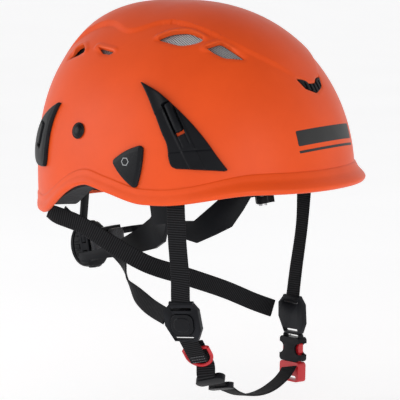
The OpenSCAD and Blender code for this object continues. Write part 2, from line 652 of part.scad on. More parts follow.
module strap_front_right() {
    color(c_web) webbing([[strap_x, -93, 4], [strap_x, -92.6, -20], [57.5, -91.5, -50], [57, -87, -80],
        at(div_r, -18.4)],
        [[0.1, -1, 0], [0.1, -1, 0], [0.15, -1, 0], [0.2, -1, 0], div_r[2]], web_w, web_t);
}
module strap_front_left() {
    color(c_web) webbing([[strap_x, 93, 4], [strap_x, 92.6, -20], [56, 91, -60], [54.5, 84, -100],
        at(div_l, -17.6)],
        [[0.1, 1, 0], [0.1, 1, 0], [0.35, 1, 0], [0.3, 1, 0], div_l[2]], web_w, web_t);
}
module strap_rear_right() {
    color(c_web) webbing([[-72, -71, -40], [-65, -68.5, -47], [-47, -62.5, -60], [-24, -58.5, -77],
        [-12, -61.5, -98], [12, -70, -110], [38, -80.5, -115]],
        [[-0.5, -0.8, -0.3], [-0.4, -0.8, -0.3], [-0.3, -1, -0.2], [-0.4, -0.9, 0], [-0.9, -0.4, 0.1],
        [-0.1, -1, 0.2], [0.1, -1, 0.1]], web_w - 2, web_t);
}
module strap_rear_left() {
    color(c_web) webbing([[-81, -80, -41], [-74, -78, -44.5], [-52, -73, -51.5], [-26, -66, -66], [0, -54, -81],
        [14, -22, -94], [26, 18, -110], [33.5, 50, -124.5], [37.5, 74, -134]],
        [[-0.5, -0.8, 0.1], [-0.4, -0.8, 0.1], [-0.3, -1, 0.1], [-0.1, -1, 0.2], [0.2, -1, 0.1],
        [0.5, -0.8, 0.1], [0.6, -0.7, 0], [0.6, -0.7, 0], [0.8, -0.5, 0.1]], web_w - 1, web_t);
}
module chin_strap_near() {
    color(c_web) webbing([at(slider_at, -9), at(slider_at, -3), at(slider_at, 3.5), at(keeper_at, -4),
        at(keeper_at, 4), [61, -22, -184], [61.5, -8, -189.6]],
        [slider_at[2], slider_at[2], slider_at[2], keeper_at[2], keeper_at[2], [0.1, -0.3, -1],
        [0.1, -0.1, -1]],
        web_w, web_t);
}
module chin_strap_far() {
    color(c_web) webbing([[61.5, -7, -189.8], [61.5, 12, -193.3], [61, 32, -193], [59.5, 52, -189.5],
        [58, 64, -185.5], [57.3, 70, -182]],
        [[0.1, -0.1, -1], [0.1, 0.1, -1], [0.1, 0.25, -1], [0.15, 0.4, -1], [0.2, 0.5, -0.9], [0.2, 0.6, -0.8]],
        web_w, web_t);
}

module divider_body() {
    difference() {
        union() {
            prism([[-15, 10], [-10, 15], [10, 15], [14, 10], [15, -6], [11, -15], [-8, -15], [-15, -2]], -3, 2);
            translate([-10, 15, -0.5]) rotate([0, 90, 0]) cylinder(r = 2.2, h = 20, $fn = 32);
        }
        // Seat of the flip lock, and the slots that the webbing passes through
        translate([0, -1, 0]) round_box(19.4, 17.4, 6, -0.4, 4);
        for (y = [11.4, -12.6]) translate([0, y, 0]) round_box(web_w + 1.5, 2.4, 1, -4, 4);
    }
}
module divider_right() { color(c_black) place(div_r[0], div_r[1], div_r[2]) divider_body(); }
module divider_left() { color(c_black) place(div_l[0], div_l[1], div_l[2]) mirror([1, 0, 0]) divider_body(); }
module divider_flap(p) {
    place(p[0], p[1], p[2]) translate([0, -1, 0]) union() {
        round_box(18.6, 16.6, 5.6, 0, 3.2);
        round_box(13, 11, 4.5, 3, 4.4);
    }
}
module divider_flap_right() { color(c_black) divider_flap(div_r); }
module divider_flap_left() { color(c_black) divider_flap(div_l); }

module strap_tongue() {
    color(c_web) webbing([at(ring_at, -10), at(ring_at, -5), at(ring_at, 2), at(ring_at, 10)],
        [ring_at[2], ring_at[2], ring_at[2], ring_at[2]], web_w - 1, web_t + 0.8);
}
// A round-wire ring with a straight bar at the top
ring_wire = 1.4;
ring_half = 10.5;
module adjuster_ring() {
    color(c_red) place(at(ring_at, 6) - unit(ring_at[2]) * 3.4, ring_at[1], ring_at[2]) union() {
        rotate([0, 0, 180]) rotate_extrude(angle = 180, $fn = 96)
            translate([ring_half, 0]) circle(ring_wire, $fn = 32);
        for (x = [-ring_half, ring_half]) translate([x, 0, 0]) rotate([-90, 0, 0])
            cylinder(r = ring_wire, h = 7, $fn = 32);
        translate([-ring_half, 7, 0]) rotate([0, 90, 0]) cylinder(r = ring_wire, h = 2 * ring_half, $fn = 32);
    }
}
module strap_loop(w, h, t) {
    difference() {
        round_box(w, h, h / 2 - 0.2, -t / 2, t / 2);
        translate([-(web_w + 1) / 2, -h, -(web_t + 0.9) / 2]) cube([web_w + 1, 2 * h, web_t + 0.9]);
    }
}
module strap_slider() { color(c_black) place(slider_at[0], slider_at[1], slider_at[2]) strap_loop(26, 9, 5); }
module strap_keeper() { color(c_black) place(keeper_at[0], keeper_at[1], keeper_at[2]) strap_loop(23, 7, 5); }

// Side-release buckle: the plug slides down out of the socket
sock_half = 10.5;
bore_half_t = buckle_t / 2 - 1.8;
plug_top = -10.9;
plug_long = 17;
prong_x = 6.9;
prong_y = -13;
prong_half = 1.5;
prong_half_t = 2.2;
pad_half = 2.3;
module buckle_socket() {
    color(c_black) place(sock_at[0], sock_at[1], sock_at[2]) difference() {
        union() {
            round_box(buckle_w, 2 * sock_half, 3, -buckle_t / 2, buckle_t / 2);
            translate([0, sock_half - 1, 0]) round_box(buckle_w - 3, 8, 2.5, -2.5, 2.5);
        }
        // Room for the plug, open at the bottom, and the side windows
        translate([-buckle_w / 2 + 1, -20, -bore_half_t]) cube([buckle_w - 2, 26, 2 * bore_half_t]);
        translate([-buckle_w, -4.5, -bore_half_t]) cube([2 * buckle_w, 10.5, 2 * bore_half_t]);
        for (s = [-1, 1]) translate([s * buckle_w / 2, 0.5, -10]) cylinder(r = 4.8, h = 20, $fn = 48);
        translate([0, 11.2, 0]) round_box(web_w + 0.6, 2.4, 1, -5, 5);
    }
}
module buckle_plug() {
    color(c_red) place(sock_at[0], sock_at[1], sock_at[2]) difference() {
        union() {
            translate([0, plug_top - plug_long / 2, 0])
                round_box(buckle_w, plug_long, 3, -buckle_t / 2 + 0.5, buckle_t / 2 - 0.5);
            translate([-3, plug_top - 3, -1.8]) cube([6, 19, 3.6]);
        }
        translate([0, plug_top - 13.6, 0]) round_box(web_w + 0.8, 3.6, 1.4, -8, 8);
        // Seats in which the two sprung arms turn
        for (s = [-1, 1]) translate([s * prong_x, prong_y, -prong_half_t - 0.3]) {
            cylinder(r = prong_half + run_gap, h = 2 * prong_half_t + 0.6, $fn = 48);
            translate([-prong_half - 0.6, 0, 0]) cube([2 * prong_half + 1.2, 5, 2 * prong_half_t + 0.6]);
        }
    }
}
module prong(s) {
    place(sock_at[0], sock_at[1], sock_at[2]) union() {
        translate([s * prong_x, prong_y, -prong_half_t])
            cylinder(r = prong_half, h = 2 * prong_half_t, $fn = 48);
        translate([s * prong_x - prong_half, prong_y, -prong_half_t])
            cube([2 * prong_half, 14, 2 * prong_half_t]);
        translate([s * (10.2 - pad_half), 1, 0]) round_box(2 * pad_half, 9, 1.6, -prong_half_t, prong_half_t);
    }
}
module buckle_prong_front() { color(c_red) prong(-1); }
module buckle_prong_rear() { color(c_red) prong(1); }

shell();
liner_front();
liner_rear();
liner_right();
liner_left();
liner_crown();
front_vent_insert();
vent_mesh_right();
mirror_left() vent_mesh_right();  // vent_mesh_left
lamp_clip_front_right();
mirror_left() lamp_clip_front_right();  // lamp_clip_front_left
lamp_tongue_front_right();
mirror_left() lamp_tongue_front_right();  // lamp_tongue_front_left
lamp_clip_rear_right();
mirror_left() lamp_clip_rear_right();  // lamp_clip_rear_left
lamp_tongue_rear_right();
mirror_left() lamp_tongue_rear_right();  // lamp_tongue_rear_left
visor_cap_right();
mirror_left() visor_cap_right();  // visor_cap_left
visor_socket_right();
mirror_left() visor_socket_right();  // visor_socket_left
rivet_right();
mirror_left() rivet_right();  // rivet_left
crown_pad();
headband();
brow_pad();
tilt_pin_right();
mirror_left() tilt_pin_right();  // tilt_pin_left
temple_link_right();
mirror_left() temple_link_right();  // temple_link_left
arm_pin_right();
mirror_left() arm_pin_right();  // arm_pin_left
arm_right();
arm_left();
nape_housing();
cover_plate();
size_knob();
pinion();
knob_axle();
nape_pad_right();
mirror_left() nape_pad_right();  // nape_pad_left
strap_front_right();
strap_front_left();
strap_rear_right();
strap_rear_left();
chin_strap_near();
chin_strap_far();
divider_right();
divider_left();
divider_flap_right();
divider_flap_left();
strap_tongue();
adjuster_ring();
strap_slider();
strap_keeper();
buckle_socket();
buckle_plug();
buckle_prong_front();
buckle_prong_rear();
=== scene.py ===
import math

import bmesh
import bpy
import numpy as np
from mathutils import Matrix, Vector


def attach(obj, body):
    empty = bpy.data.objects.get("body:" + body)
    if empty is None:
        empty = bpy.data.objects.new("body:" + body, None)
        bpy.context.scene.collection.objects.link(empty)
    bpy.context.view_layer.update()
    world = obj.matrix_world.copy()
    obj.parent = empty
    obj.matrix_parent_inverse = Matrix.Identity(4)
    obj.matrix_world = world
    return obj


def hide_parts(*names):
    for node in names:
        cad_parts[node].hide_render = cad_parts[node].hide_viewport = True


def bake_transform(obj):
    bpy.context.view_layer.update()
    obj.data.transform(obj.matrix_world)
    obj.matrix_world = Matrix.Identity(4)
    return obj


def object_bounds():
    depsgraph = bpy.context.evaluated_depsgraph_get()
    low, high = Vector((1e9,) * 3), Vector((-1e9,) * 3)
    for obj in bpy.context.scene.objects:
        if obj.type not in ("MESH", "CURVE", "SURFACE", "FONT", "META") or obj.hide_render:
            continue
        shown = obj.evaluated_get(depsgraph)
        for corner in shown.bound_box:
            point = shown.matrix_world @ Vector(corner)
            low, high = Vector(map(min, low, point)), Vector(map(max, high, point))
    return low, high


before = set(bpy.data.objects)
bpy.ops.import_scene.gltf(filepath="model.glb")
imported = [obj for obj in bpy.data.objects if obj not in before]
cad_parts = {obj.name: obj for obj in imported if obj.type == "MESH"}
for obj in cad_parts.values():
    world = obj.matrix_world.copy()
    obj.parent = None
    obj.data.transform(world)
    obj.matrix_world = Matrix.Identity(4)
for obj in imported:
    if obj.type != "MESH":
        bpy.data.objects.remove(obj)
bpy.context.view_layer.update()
scene = bpy.context.scene
MM = 0.001

# ---------------------------------------------------------------- camera
AZIMUTH, ELEVATION, DISTANCE = 35.5, 8.0, 1.5
ca, sa = math.cos(math.radians(AZIMUTH)), math.sin(math.radians(AZIMUTH))
ce, se = math.cos(math.radians(ELEVATION)), math.sin(math.radians(ELEVATION))
cam_right = Vector((ca, sa, 0))
cam_back = Vector((sa * ce, -ca * ce, se))
cam_up = cam_back.cross(cam_right)
aim = cam_right * 0.0114 - cam_up * 0.0347
cam_data = bpy.data.cameras.new("camera")
cam_data.sensor_width = 36.0
cam_data.lens = 163.6
cam_data.clip_end = 50
camera = bpy.data.objects.new("camera", cam_data)
scene.collection.objects.link(camera)
camera.matrix_world = Matrix((
    (cam_right.x, cam_up.x, cam_back.x, aim.x + cam_back.x * DISTANCE),
    (cam_right.y, cam_up.y, cam_back.y, aim.y + cam_back.y * DISTANCE),
    (cam_right.z, cam_up.z, cam_back.z, aim.z + cam_back.z * DISTANCE),
    (0, 0, 0, 1)))
scene.camera = camera

# ---------------------------------------------------------------- shell geometry, in mm
FRONT, REAR, HALF, CROWN, WIDEST = 144.0, 125.0, 107.0, 128.0, -14.0
WALL, GAP = 3.0, 1.6
PLAN_N, FRONT_M, SIDE_M, REAR_M = 2.25, 2.15, 2.05, 2.55
G_OUT = (FRONT, REAR, HALF, CROWN)
G_FOAM = tuple(v - WALL - GAP for v in G_OUT)
G_ROOM = (G_FOAM[0] - 30, G_FOAM[1] - 22, G_FOAM[2] - 18, G_FOAM[3] - 20)
BRIM = 8.0


def ss(a, b, v):
    t = np.clip((np.asarray(v, float) - a) / (b - a), 0, 1)
    return t * t * (3 - 2 * t)


def spow(v, e):
    return np.sign(v) * np.abs(v) ** e


def fold(f):
    g = np.abs(f) % 360
    return np.where(g > 180, 360 - g, g)


def rim_z(f):
    v = fold(f)
    return -12.5 - 10.5 * ss(38, 75, v) + 12 * ss(78, 99, v) - 30 * ss(96, 130, v)


def crease_h(f):
    v = fold(f)
    return 15 - 3.5 * ss(30, 74, v) + 2 * ss(100, 135, v)


def rim_out(f):
    v = fold(f)
    return BRIM + (2.5 - BRIM) * ss(35, 75, v) - ss(110, 150, v)


def liner_z(f):
    v = fold(f)
    z = -7.5 - 10.5 * ss(38, 75, v) + 4 * ss(78, 99, v) - 22 * ss(96, 130, v)
    return z + (8 - z) * ss(4.6, 3.9, np.abs(v - 180))


def profile_m(c, s):
    return SIDE_M + (np.where(c >= 0, FRONT_M, REAR_M) - SIDE_M) * c * c


def skin(f, z, g=G_OUT):
    f, z = np.broadcast_arrays(np.asarray(f, float), np.asarray(z, float))
    c, s = np.cos(np.radians(f)), np.sin(np.radians(f))
    a = np.where(c >= 0, g[0], g[1])
    m = profile_m(c, s)
    q = np.minimum(1, np.abs(z - WIDEST) / (g[3] - WIDEST))
    r = np.maximum(0, 1 - q ** m) ** (1 / m)
    return np.stack([a * spow(c, 2 / PLAN_N) * r, g[2] * spow(s, 2 / PLAN_N) * r, z], -1)


def field(p, g=G_OUT):
    """Below 0 inside the shell's outer face, 0 on it."""
    x, y, z = p[..., 0], p[..., 1], p[..., 2]
    a = np.where(x >= 0, g[0], g[1])
    fx, fy = np.abs(x / a) ** PLAN_N, np.abs(y / g[2]) ** PLAN_N
    rn = fx + fy + 1e-12
    m = SIDE_M + (np.where(x >= 0, FRONT_M, REAR_M) - SIDE_M) * fx / rn
    q = np.abs(z - WIDEST) / (g[3] - WIDEST)
    return (rn ** (m / PLAN_N) + q ** m) ** (1 / m) - 1


def normal(p):
    e = 0.05
    n = np.stack([field(p + d) - field(p - d) for d in np.eye(3) * e], -1)
    return n / (np.linalg.norm(n, axis=-1, keepdims=True) + 1e-12)


class Plane:
    """A place on the shell: x along it, y up it, z out of it, as the CAD has it."""

    def __init__(self, f, z, shift=(0, 0), lean=0.0, left=False):
        d = 0.2
        n = np.cross(skin(f + d, z) - skin(f - d, z), skin(f, z + d) - skin(f, z - d))
        n /= np.linalg.norm(n)
        u = np.array([0, 0, 1.0]) - n * n[2]
        u /= np.linalg.norm(u)
        r = np.cross(u, n)
        o = skin(f, z) + r * shift[0] + u * shift[1]
        a = math.radians(lean)
        self.o, self.n = o, n
        self.x, self.y = r * math.cos(a) + u * math.sin(a), u * math.cos(a) - r * math.sin(a)
        self.left = left

    def local(self, p):
        d = p - self.o
        return d @ self.x, d @ self.y, d @ self.n

    def on(self, x, y, side=1):
        """Points of the outer face straight under local x, y."""
        base = self.o + x[..., None] * self.x + y[..., None] * self.y
        lo, hi = np.full(x.shape, -45.0), np.full(x.shape, 12.0)
        for _ in range(34):
            mid = (lo + hi) / 2
            inside = field(base + mid[..., None] * self.n) < 0
            lo, hi = np.where(inside, mid, lo), np.where(inside, hi, mid)
        return base + lo[..., None] * self.n


def outline_sdf(x, y, pts):
    """Signed distance to a closed outline, negative inside, and the nearest point."""
    p = np.asarray(pts, float)
    q = np.roll(p, -1, 0)
    best = np.full(x.shape, 1e9)
    bx, by = np.array(x, float), np.array(y, float)
    inside = np.zeros(x.shape, bool)
    for (x0, y0), (x1, y1) in zip(p, q):
        dx, dy = x1 - x0, y1 - y0
        t = np.clip(((x - x0) * dx + (y - y0) * dy) / (dx * dx + dy * dy), 0, 1)
        nx, ny = x0 + t * dx, y0 + t * dy
        d = np.hypot(x - nx, y - ny)
        near = d < best
        best, bx, by = np.where(near, d, best), np.where(near, nx, bx), np.where(near, ny, by)
        cross = ((y0 > y) != (y1 > y)) & (x < x0 + (y - y0) * dx / (dy if dy else 1e-9))
        inside ^= cross
    return np.where(inside, -best, best), bx, by


def rounded(pts, r=1.0, steps=4):
    """The outline with each corner turned into a small curve."""
    p = np.asarray(pts, float)
    n, out = len(p), []
    for i in range(n):
        a, b, c = p[i - 1], p[i], p[(i + 1) % n]
        la, lc = np.linalg.norm(a - b), np.linalg.norm(c - b)
        ra, rc = min(r, la * 0.45), min(r, lc * 0.45)
        s, e = b + (a - b) / la * ra, b + (c - b) / lc * rc
        for k in range(steps + 1):
            t = k / steps
            out.append((1 - t) ** 2 * s + 2 * t * (1 - t) * b + t * t * e)
    return np.array(out)


def curved(pts, k=4, sharp=()):
    """A smooth closed line through the points, with corners kept at the sharp ones."""
    p = np.asarray(pts, float)
    n, out = len(p), []
    for i in range(n):
        b, c = p[i], p[(i + 1) % n]
        a = 2 * b - c if i in sharp else p[i - 1]
        d = 2 * c - b if (i + 1) % n in sharp else p[(i + 2) % n]
        for j in range(k):
            t = j / k
            out.append(0.5 * (2 * b + (c - a) * t + (2 * a - 5 * b + 4 * c - d) * t ** 2
                              + (3 * b - a - 3 * c + d) * t ** 3))
    return np.array(out)


# ---------------------------------------------------------------- making objects
def make(name, verts, faces, mat, body, replaces=(), sharp=35.0, mirror=False, smooth=True):
    v = np.array(verts, float).reshape(-1, 3) * MM
    if mirror:
        v = v * (1, -1, 1)
    mesh = bpy.data.meshes.new(name)
    mesh.from_pydata(v.tolist(), [], [list(map(int, f)) for f in faces])
    bm = bmesh.new()
    bm.from_mesh(mesh)
    bmesh.ops.remove_doubles(bm, verts=bm.verts, dist=1e-6)
    bmesh.ops.recalc_face_normals(bm, faces=bm.faces)
    bm.to_mesh(mesh)
    bm.free()
    if smooth:
        mesh.polygons.foreach_set("use_smooth", [True] * len(mesh.polygons))
        mesh.set_sharp_from_angle(angle=math.radians(sharp))
    obj = bpy.data.objects.new(name, mesh)
    scene.collection.objects.link(obj)
    if mat:
        mesh.materials.append(mat)
    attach(obj, body)
    if replaces:
        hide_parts(*([replaces] if isinstance(replaces, str) else replaces))
    return obj


def apply_modifiers(obj):
    deps = bpy.context.evaluated_depsgraph_get()
    mesh = bpy.data.meshes.new_from_object(obj.evaluated_get(deps))
    old = obj.data
    obj.modifiers.clear()
    obj.data = mesh
    bpy.data.meshes.remove(old)
    return obj


def soften(node, mat, body, width=0.6, segments=3, name=None, limit=30.0, wave=None):
    """A CAD solid's shape with its edges rounded as a moulded part's are."""
    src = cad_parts[node]
    mesh = src.data.copy()
    mesh.materials.clear()
    mesh.materials.append(mat)
    bm = bmesh.new()
    bm.from_mesh(mesh)
    bmesh.ops.remove_doubles(bm, verts=bm.verts, dist=2e-6)
    bmesh.ops.dissolve_limit(bm, angle_limit=math.radians(1.5), verts=bm.verts, edges=bm.edges)
    bm.to_mesh(mesh)
    bm.free()
    obj = bpy.data.objects.new(name or node + "_moulded", mesh)
    scene.collection.objects.link(obj)
    mod = obj.modifiers.new("edge", "BEVEL")
    mod.width = width * MM
    mod.segments = segments
    mod.limit_method = "ANGLE"
    mod.angle_limit = math.radians(limit)
    mod.harden_normals = False
    apply_modifiers(obj)
    obj.data.polygons.foreach_set("use_smooth", [True] * len(obj.data.polygons))
    obj.data.set_sharp_from_angle(angle=math.radians(38))
    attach(obj, body)
    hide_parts(node)
    return obj


# ---------------------------------------------------------------- materials
def new_material(name):
    m = bpy.data.materials.new(name)
    m.use_nodes = True
    nt = m.node_tree
    nt.nodes.clear()
    out = nt.nodes.new("ShaderNodeOutputMaterial")
    bsdf = nt.nodes.new("ShaderNodeBsdfPrincipled")
    nt.links.new(bsdf.outputs[0], out.inputs[0])
    return m, nt, bsdf


def node(nt, kind, **values):
    n = nt.nodes.new(kind)
    for k, v in values.items():
        if k in n.inputs:
            n.inputs[k].default_value = v
        else:
            setattr(n, k, v)
    return n


def ramp(nt, source, stops):
    r = nt.nodes.new("ShaderNodeValToRGB")
    e = r.color_ramp.elements
    while len(e) < len(stops):
        e.new(0.5)
    for el, (pos, col) in zip(e, stops):
        el.position = pos
        el.color = (*col, 1) if len(col) == 3 else col
    nt.links.new(source, r.inputs[0])
    return r


def object_coords(nt):
    return nt.nodes.new("ShaderNodeTexCoord").outputs["Object"]


def plastic(name, dark, light, rough, grain=900.0, bump=0.06, wear_and_highlight=0.0, wear_and_highlight_col=(0.1, 0.1, 0.1), coat=0.0,
            spread=0.08, spec=0.5):
    """Moulded plastic: mottled colour, a fine spark texture, uneven gloss, and lighter edges that are partly rubbed
    wear and partly a painted highlight.
    """
    m, nt, b = new_material(name)
    co = object_coords(nt)
    wide = node(nt, "ShaderNodeTexNoise", Scale=22.0, Detail=4.0, Roughness=0.6)
    nt.links.new(co, wide.inputs["Vector"])
    col = ramp(nt, wide.outputs[0], [(0.3, dark), (0.7, light)])
    fine = node(nt, "ShaderNodeTexNoise", Scale=grain, Detail=2.0, Roughness=0.5)
    nt.links.new(co, fine.inputs["Vector"])
    bmp = node(nt, "ShaderNodeBump", Strength=bump, Distance=0.0004)
    nt.links.new(fine.outputs[0], bmp.inputs["Height"])
    nt.links.new(bmp.outputs[0], b.inputs["Normal"])
    colour = col.outputs[0]
    # Sharp edges, found by pointiness, get a lighter colour: partly rubbed wear, partly a painted highlight where the
    # gloss would catch the light
    if wear_and_highlight > 0:
        geo = nt.nodes.new("ShaderNodeNewGeometry")
        edge = ramp(nt, geo.outputs["Pointiness"], [(0.52, (0, 0, 0)), (0.6, (1, 1, 1))])
        mul = node(nt, "ShaderNodeMath", operation="MULTIPLY")
        nt.links.new(edge.outputs[0], mul.inputs[0])
        mul.inputs[1].default_value = wear_and_highlight
        mix = node(nt, "ShaderNodeMix", data_type="RGBA")
        nt.links.new(mul.outputs[0], mix.inputs[0])
        nt.links.new(colour, mix.inputs[6])
        mix.inputs[7].default_value = (*wear_and_highlight_col, 1)
        colour = mix.outputs[2]
    nt.links.new(colour, b.inputs["Base Color"])
    smear = node(nt, "ShaderNodeTexNoise", Scale=60.0, Detail=3.0)
    nt.links.new(co, smear.inputs["Vector"])
    rr = node(nt, "ShaderNodeMapRange")
    nt.links.new(smear.outputs[0], rr.inputs[0])
    rr.inputs[3].default_value = rough - spread
    rr.inputs[4].default_value = rough + spread
    nt.links.new(rr.outputs[0], b.inputs["Roughness"])
    b.inputs["Specular IOR Level"].default_value = spec
    b.inputs["Coat Weight"].default_value = coat
    b.inputs["Coat Roughness"].default_value = 0.25
    return m


def metal(name, colour, rough, stretch=(1, 1, 1), scale=500.0):
    m, nt, b = new_material(name)
    co = object_coords(nt)
    mp = node(nt, "ShaderNodeMapping")
    mp.inputs["Scale"].default_value = stretch
    nt.links.new(co, mp.inputs["Vector"])
    n1 = node(nt, "ShaderNodeTexNoise", Scale=scale, Detail=3.0)
    nt.links.new(mp.outputs[0], n1.inputs["Vector"])
    dark = tuple(c * 0.8 for c in colour)
    col = ramp(nt, n1.outputs[0], [(0.3, dark), (0.7, colour)])
    nt.links.new(col.outputs[0], b.inputs["Base Color"])
    rr = node(nt, "ShaderNodeMapRange")
    nt.links.new(n1.outputs[0], rr.inputs[0])
    rr.inputs[3].default_value = rough - 0.08
    rr.inputs[4].default_value = rough + 0.1
    nt.links.new(rr.outputs[0], b.inputs["Roughness"])
    bmp = node(nt, "ShaderNodeBump", Strength=0.1, Distance=0.0002)
    nt.links.new(n1.outputs[0], bmp.inputs["Height"])
    nt.links.new(bmp.outputs[0], b.inputs["Normal"])
    b.inputs["Metallic"].default_value = 1.0
    return m


def webbing_material(name):
    """Woven polyester: ribs across are in the mesh; the yarns run in the material."""
    m, nt, b = new_material(name)
    at = node(nt, "ShaderNodeAttribute", attribute_name="weave")
    sep = nt.nodes.new("ShaderNodeSeparateXYZ")
    nt.links.new(at.outputs["Vector"], sep.inputs[0])
    warp = node(nt, "ShaderNodeMath", operation="SINE")
    mu = node(nt, "ShaderNodeMath", operation="MULTIPLY")
    mu.inputs[1].default_value = 2 * math.pi / 0.9
    nt.links.new(sep.outputs[0], mu.inputs[0])
    nt.links.new(mu.outputs[0], warp.inputs[0])
    rib = node(nt, "ShaderNodeMath", operation="SINE")
    mv = node(nt, "ShaderNodeMath", operation="MULTIPLY")
    mv.inputs[1].default_value = 2 * math.pi / 1.9
    nt.links.new(sep.outputs[1], mv.inputs[0])
    nt.links.new(mv.outputs[0], rib.inputs[0])
    add = node(nt, "ShaderNodeMath", operation="MULTIPLY_ADD")
    nt.links.new(warp.outputs[0], add.inputs[0])
    add.inputs[1].default_value = 0.3
    nt.links.new(rib.outputs[0], add.inputs[2])
    fuzz = node(nt, "ShaderNodeTexNoise", Scale=1400.0, Detail=2.0)
    nt.links.new(object_coords(nt), fuzz.inputs["Vector"])
    add2 = node(nt, "ShaderNodeMath", operation="ADD")
    nt.links.new(add.outputs[0], add2.inputs[0])
    nt.links.new(fuzz.outputs[0], add2.inputs[1])
    rr = node(nt, "ShaderNodeMapRange")
    nt.links.new(add2.outputs[0], rr.inputs[0])
    rr.inputs[1].default_value, rr.inputs[2].default_value = -1.0, 1.9
    col = ramp(nt, rr.outputs[0], [(0.0, (0.0020, 0.0020, 0.0024)), (0.55, (0.0075, 0.0075, 0.0085)),
                                   (1.0, (0.030, 0.030, 0.033))])
    nt.links.new(col.outputs[0], b.inputs["Base Color"])
    bmp = node(nt, "ShaderNodeBump", Strength=0.5, Distance=0.0003)
    nt.links.new(rr.outputs[0], bmp.inputs["Height"])
    nt.links.new(bmp.outputs[0], b.inputs["Normal"])
    b.inputs["Roughness"].default_value = 0.72
    b.inputs["Specular IOR Level"].default_value = 0.09
    b.inputs["Sheen Weight"].default_value = 0.04
    b.inputs["Sheen Roughness"].default_value = 0.4
    return m


def fabric(name, dark, light, scale=700.0):
    m, nt, b = new_material(name)
    co = object_coords(nt)
    v = node(nt, "ShaderNodeTexVoronoi", Scale=scale)
    nt.links.new(co, v.inputs["Vector"])
    n1 = node(nt, "ShaderNodeTexNoise", Scale=40.0, Detail=4.0)
    nt.links.new(co, n1.inputs["Vector"])
    mul = node(nt, "ShaderNodeMath", operation="MULTIPLY_ADD")
    nt.links.new(n1.outputs[0], mul.inputs[0])
    mul.inputs[1].default_value = 0.5
    nt.links.new(v.outputs["Distance"], mul.inputs[2])
    col = ramp(nt, mul.outputs[0], [(0.2, dark), (0.8, light)])
    nt.links.new(col.outputs[0], b.inputs["Base Color"])
    bmp = node(nt, "ShaderNodeBump", Strength=0.6, Distance=0.0006)
    nt.links.new(v.outputs["Distance"], bmp.inputs["Height"])
    nt.links.new(bmp.outputs[0], b.inputs["Normal"])
    b.inputs["Roughness"].default_value = 0.9
    b.inputs["Sheen Weight"].default_value = 0.4
    return m


def foam(name):
    m, nt, b = new_material(name)
    co = object_coords(nt)
    v = node(nt, "ShaderNodeTexVoronoi", Scale=330.0)
    nt.links.new(co, v.inputs["Vector"])
    n1 = node(nt, "ShaderNodeTexNoise", Scale=30.0, Detail=4.0)
    nt.links.new(co, n1.inputs["Vector"])
    col = ramp(nt, n1.outputs[0], [(0.3, (0.012, 0.012, 0.014)), (0.7, (0.024, 0.024, 0.027))])
    nt.links.new(col.outputs[0], b.inputs["Base Color"])
    bmp = node(nt, "ShaderNodeBump", Strength=0.5, Distance=0.0008)
    nt.links.new(v.outputs["Distance"], bmp.inputs["Height"])
    nt.links.new(bmp.outputs[0], b.inputs["Normal"])
    b.inputs["Roughness"].default_value = 0.85
    return m


# Each plastic's lighter edge colour is partly rubbed wear and partly a painted highlight on its edges
M_SHELL = plastic("shell_orange", (0.74, 0.072, 0.007), (0.80, 0.082, 0.009), 0.42, grain=1500.0, bump=0.05,
                  wear_and_highlight=0.22, wear_and_highlight_col=(0.86, 0.20, 0.06), spread=0.05, spec=0.25)
M_BLACK = plastic("black_plastic", (0.0030, 0.0032, 0.0045), (0.0070, 0.0074, 0.0095), 0.38, grain=1300.0,
                  bump=0.16, wear_and_highlight=0.30, wear_and_highlight_col=(0.030, 0.032, 0.038), spec=0.12)
M_GLOSS = plastic("black_gloss", (0.0030, 0.0032, 0.0045), (0.0065, 0.0070, 0.0090), 0.27, grain=900.0, bump=0.04,
                  wear_and_highlight=0.3, wear_and_highlight_col=(0.04, 0.042, 0.05), spread=0.06, spec=0.17)
M_RED = plastic("red_plastic", (0.44, 0.006, 0.012), (0.54, 0.010, 0.018), 0.33, grain=900.0, bump=0.05,
                wear_and_highlight=0.25, wear_and_highlight_col=(0.72, 0.08, 0.08))
M_MARK = plastic("mark_ink", (0.005, 0.005, 0.005), (0.010, 0.010, 0.010), 0.5, grain=1800.0, bump=0.05)
M_GREY = plastic("grey_ink", (0.30, 0.31, 0.32), (0.38, 0.39, 0.40), 0.5, grain=1800.0, bump=0.05)
M_MESH = metal("vent_wire", (0.40, 0.41, 0.42), 0.45)
M_STEEL = metal("pin_steel", (0.62, 0.62, 0.63), 0.28, (1, 1, 14))
M_WEB = webbing_material("webbing")
M_FOAM = foam("liner_foam")
M_PAD = fabric("pad_cover", (0.010, 0.010, 0.012), (0.045, 0.046, 0.052))
M_STITCH = fabric("stitch_thread", (0.05, 0.05, 0.055), (0.12, 0.12, 0.13), 2500.0)


# ---------------------------------------------------------------- outlines, as the CAD has them
VENTS = [
    (Plane(-65, 102.5), rounded([(-24, 0), (-12, 6.5), (2.5, 8), (18, 0.5), (10, -5.5), (-1.5, -8)], 5)),
    (Plane(-42, 93.5), rounded([(-17.5, 4), (-4, 9), (15, -8), (-2, -7)], 3)),
    (Plane(-106, 91), rounded([(-11, 3.5), (10, 0), (6, -3), (-2, -2.5)], 1.6)),
    (Plane(-130, 88), rounded([(-9, -7), (-5, 4.5), (4, 8.5), (14, 2)], 3)),
]
INSERT = Plane(0, 66)
INSERT_OUT = rounded([(-17, 7.5), (-9, 5.5), (-4, 1.5), (4, 1.5), (9, 5.5), (17, 7.5), (12, -2.5), (0, -7.5),
                      (-12, -2.5)], 1.5)
RIVET = Plane(-103, 29)
CAP = Plane(-81.5, 6)
CAP_PIN = (-4.0, 1.0)
CLIP = Plane(-66, 25)
REAR = Plane(-126, 22)


def circle(r, cx=0.0, cy=0.0, n=48):
    a = np.arange(n) * 2 * math.pi / n
    return np.stack([cx + r * np.cos(a), cy + r * np.sin(a)], -1)


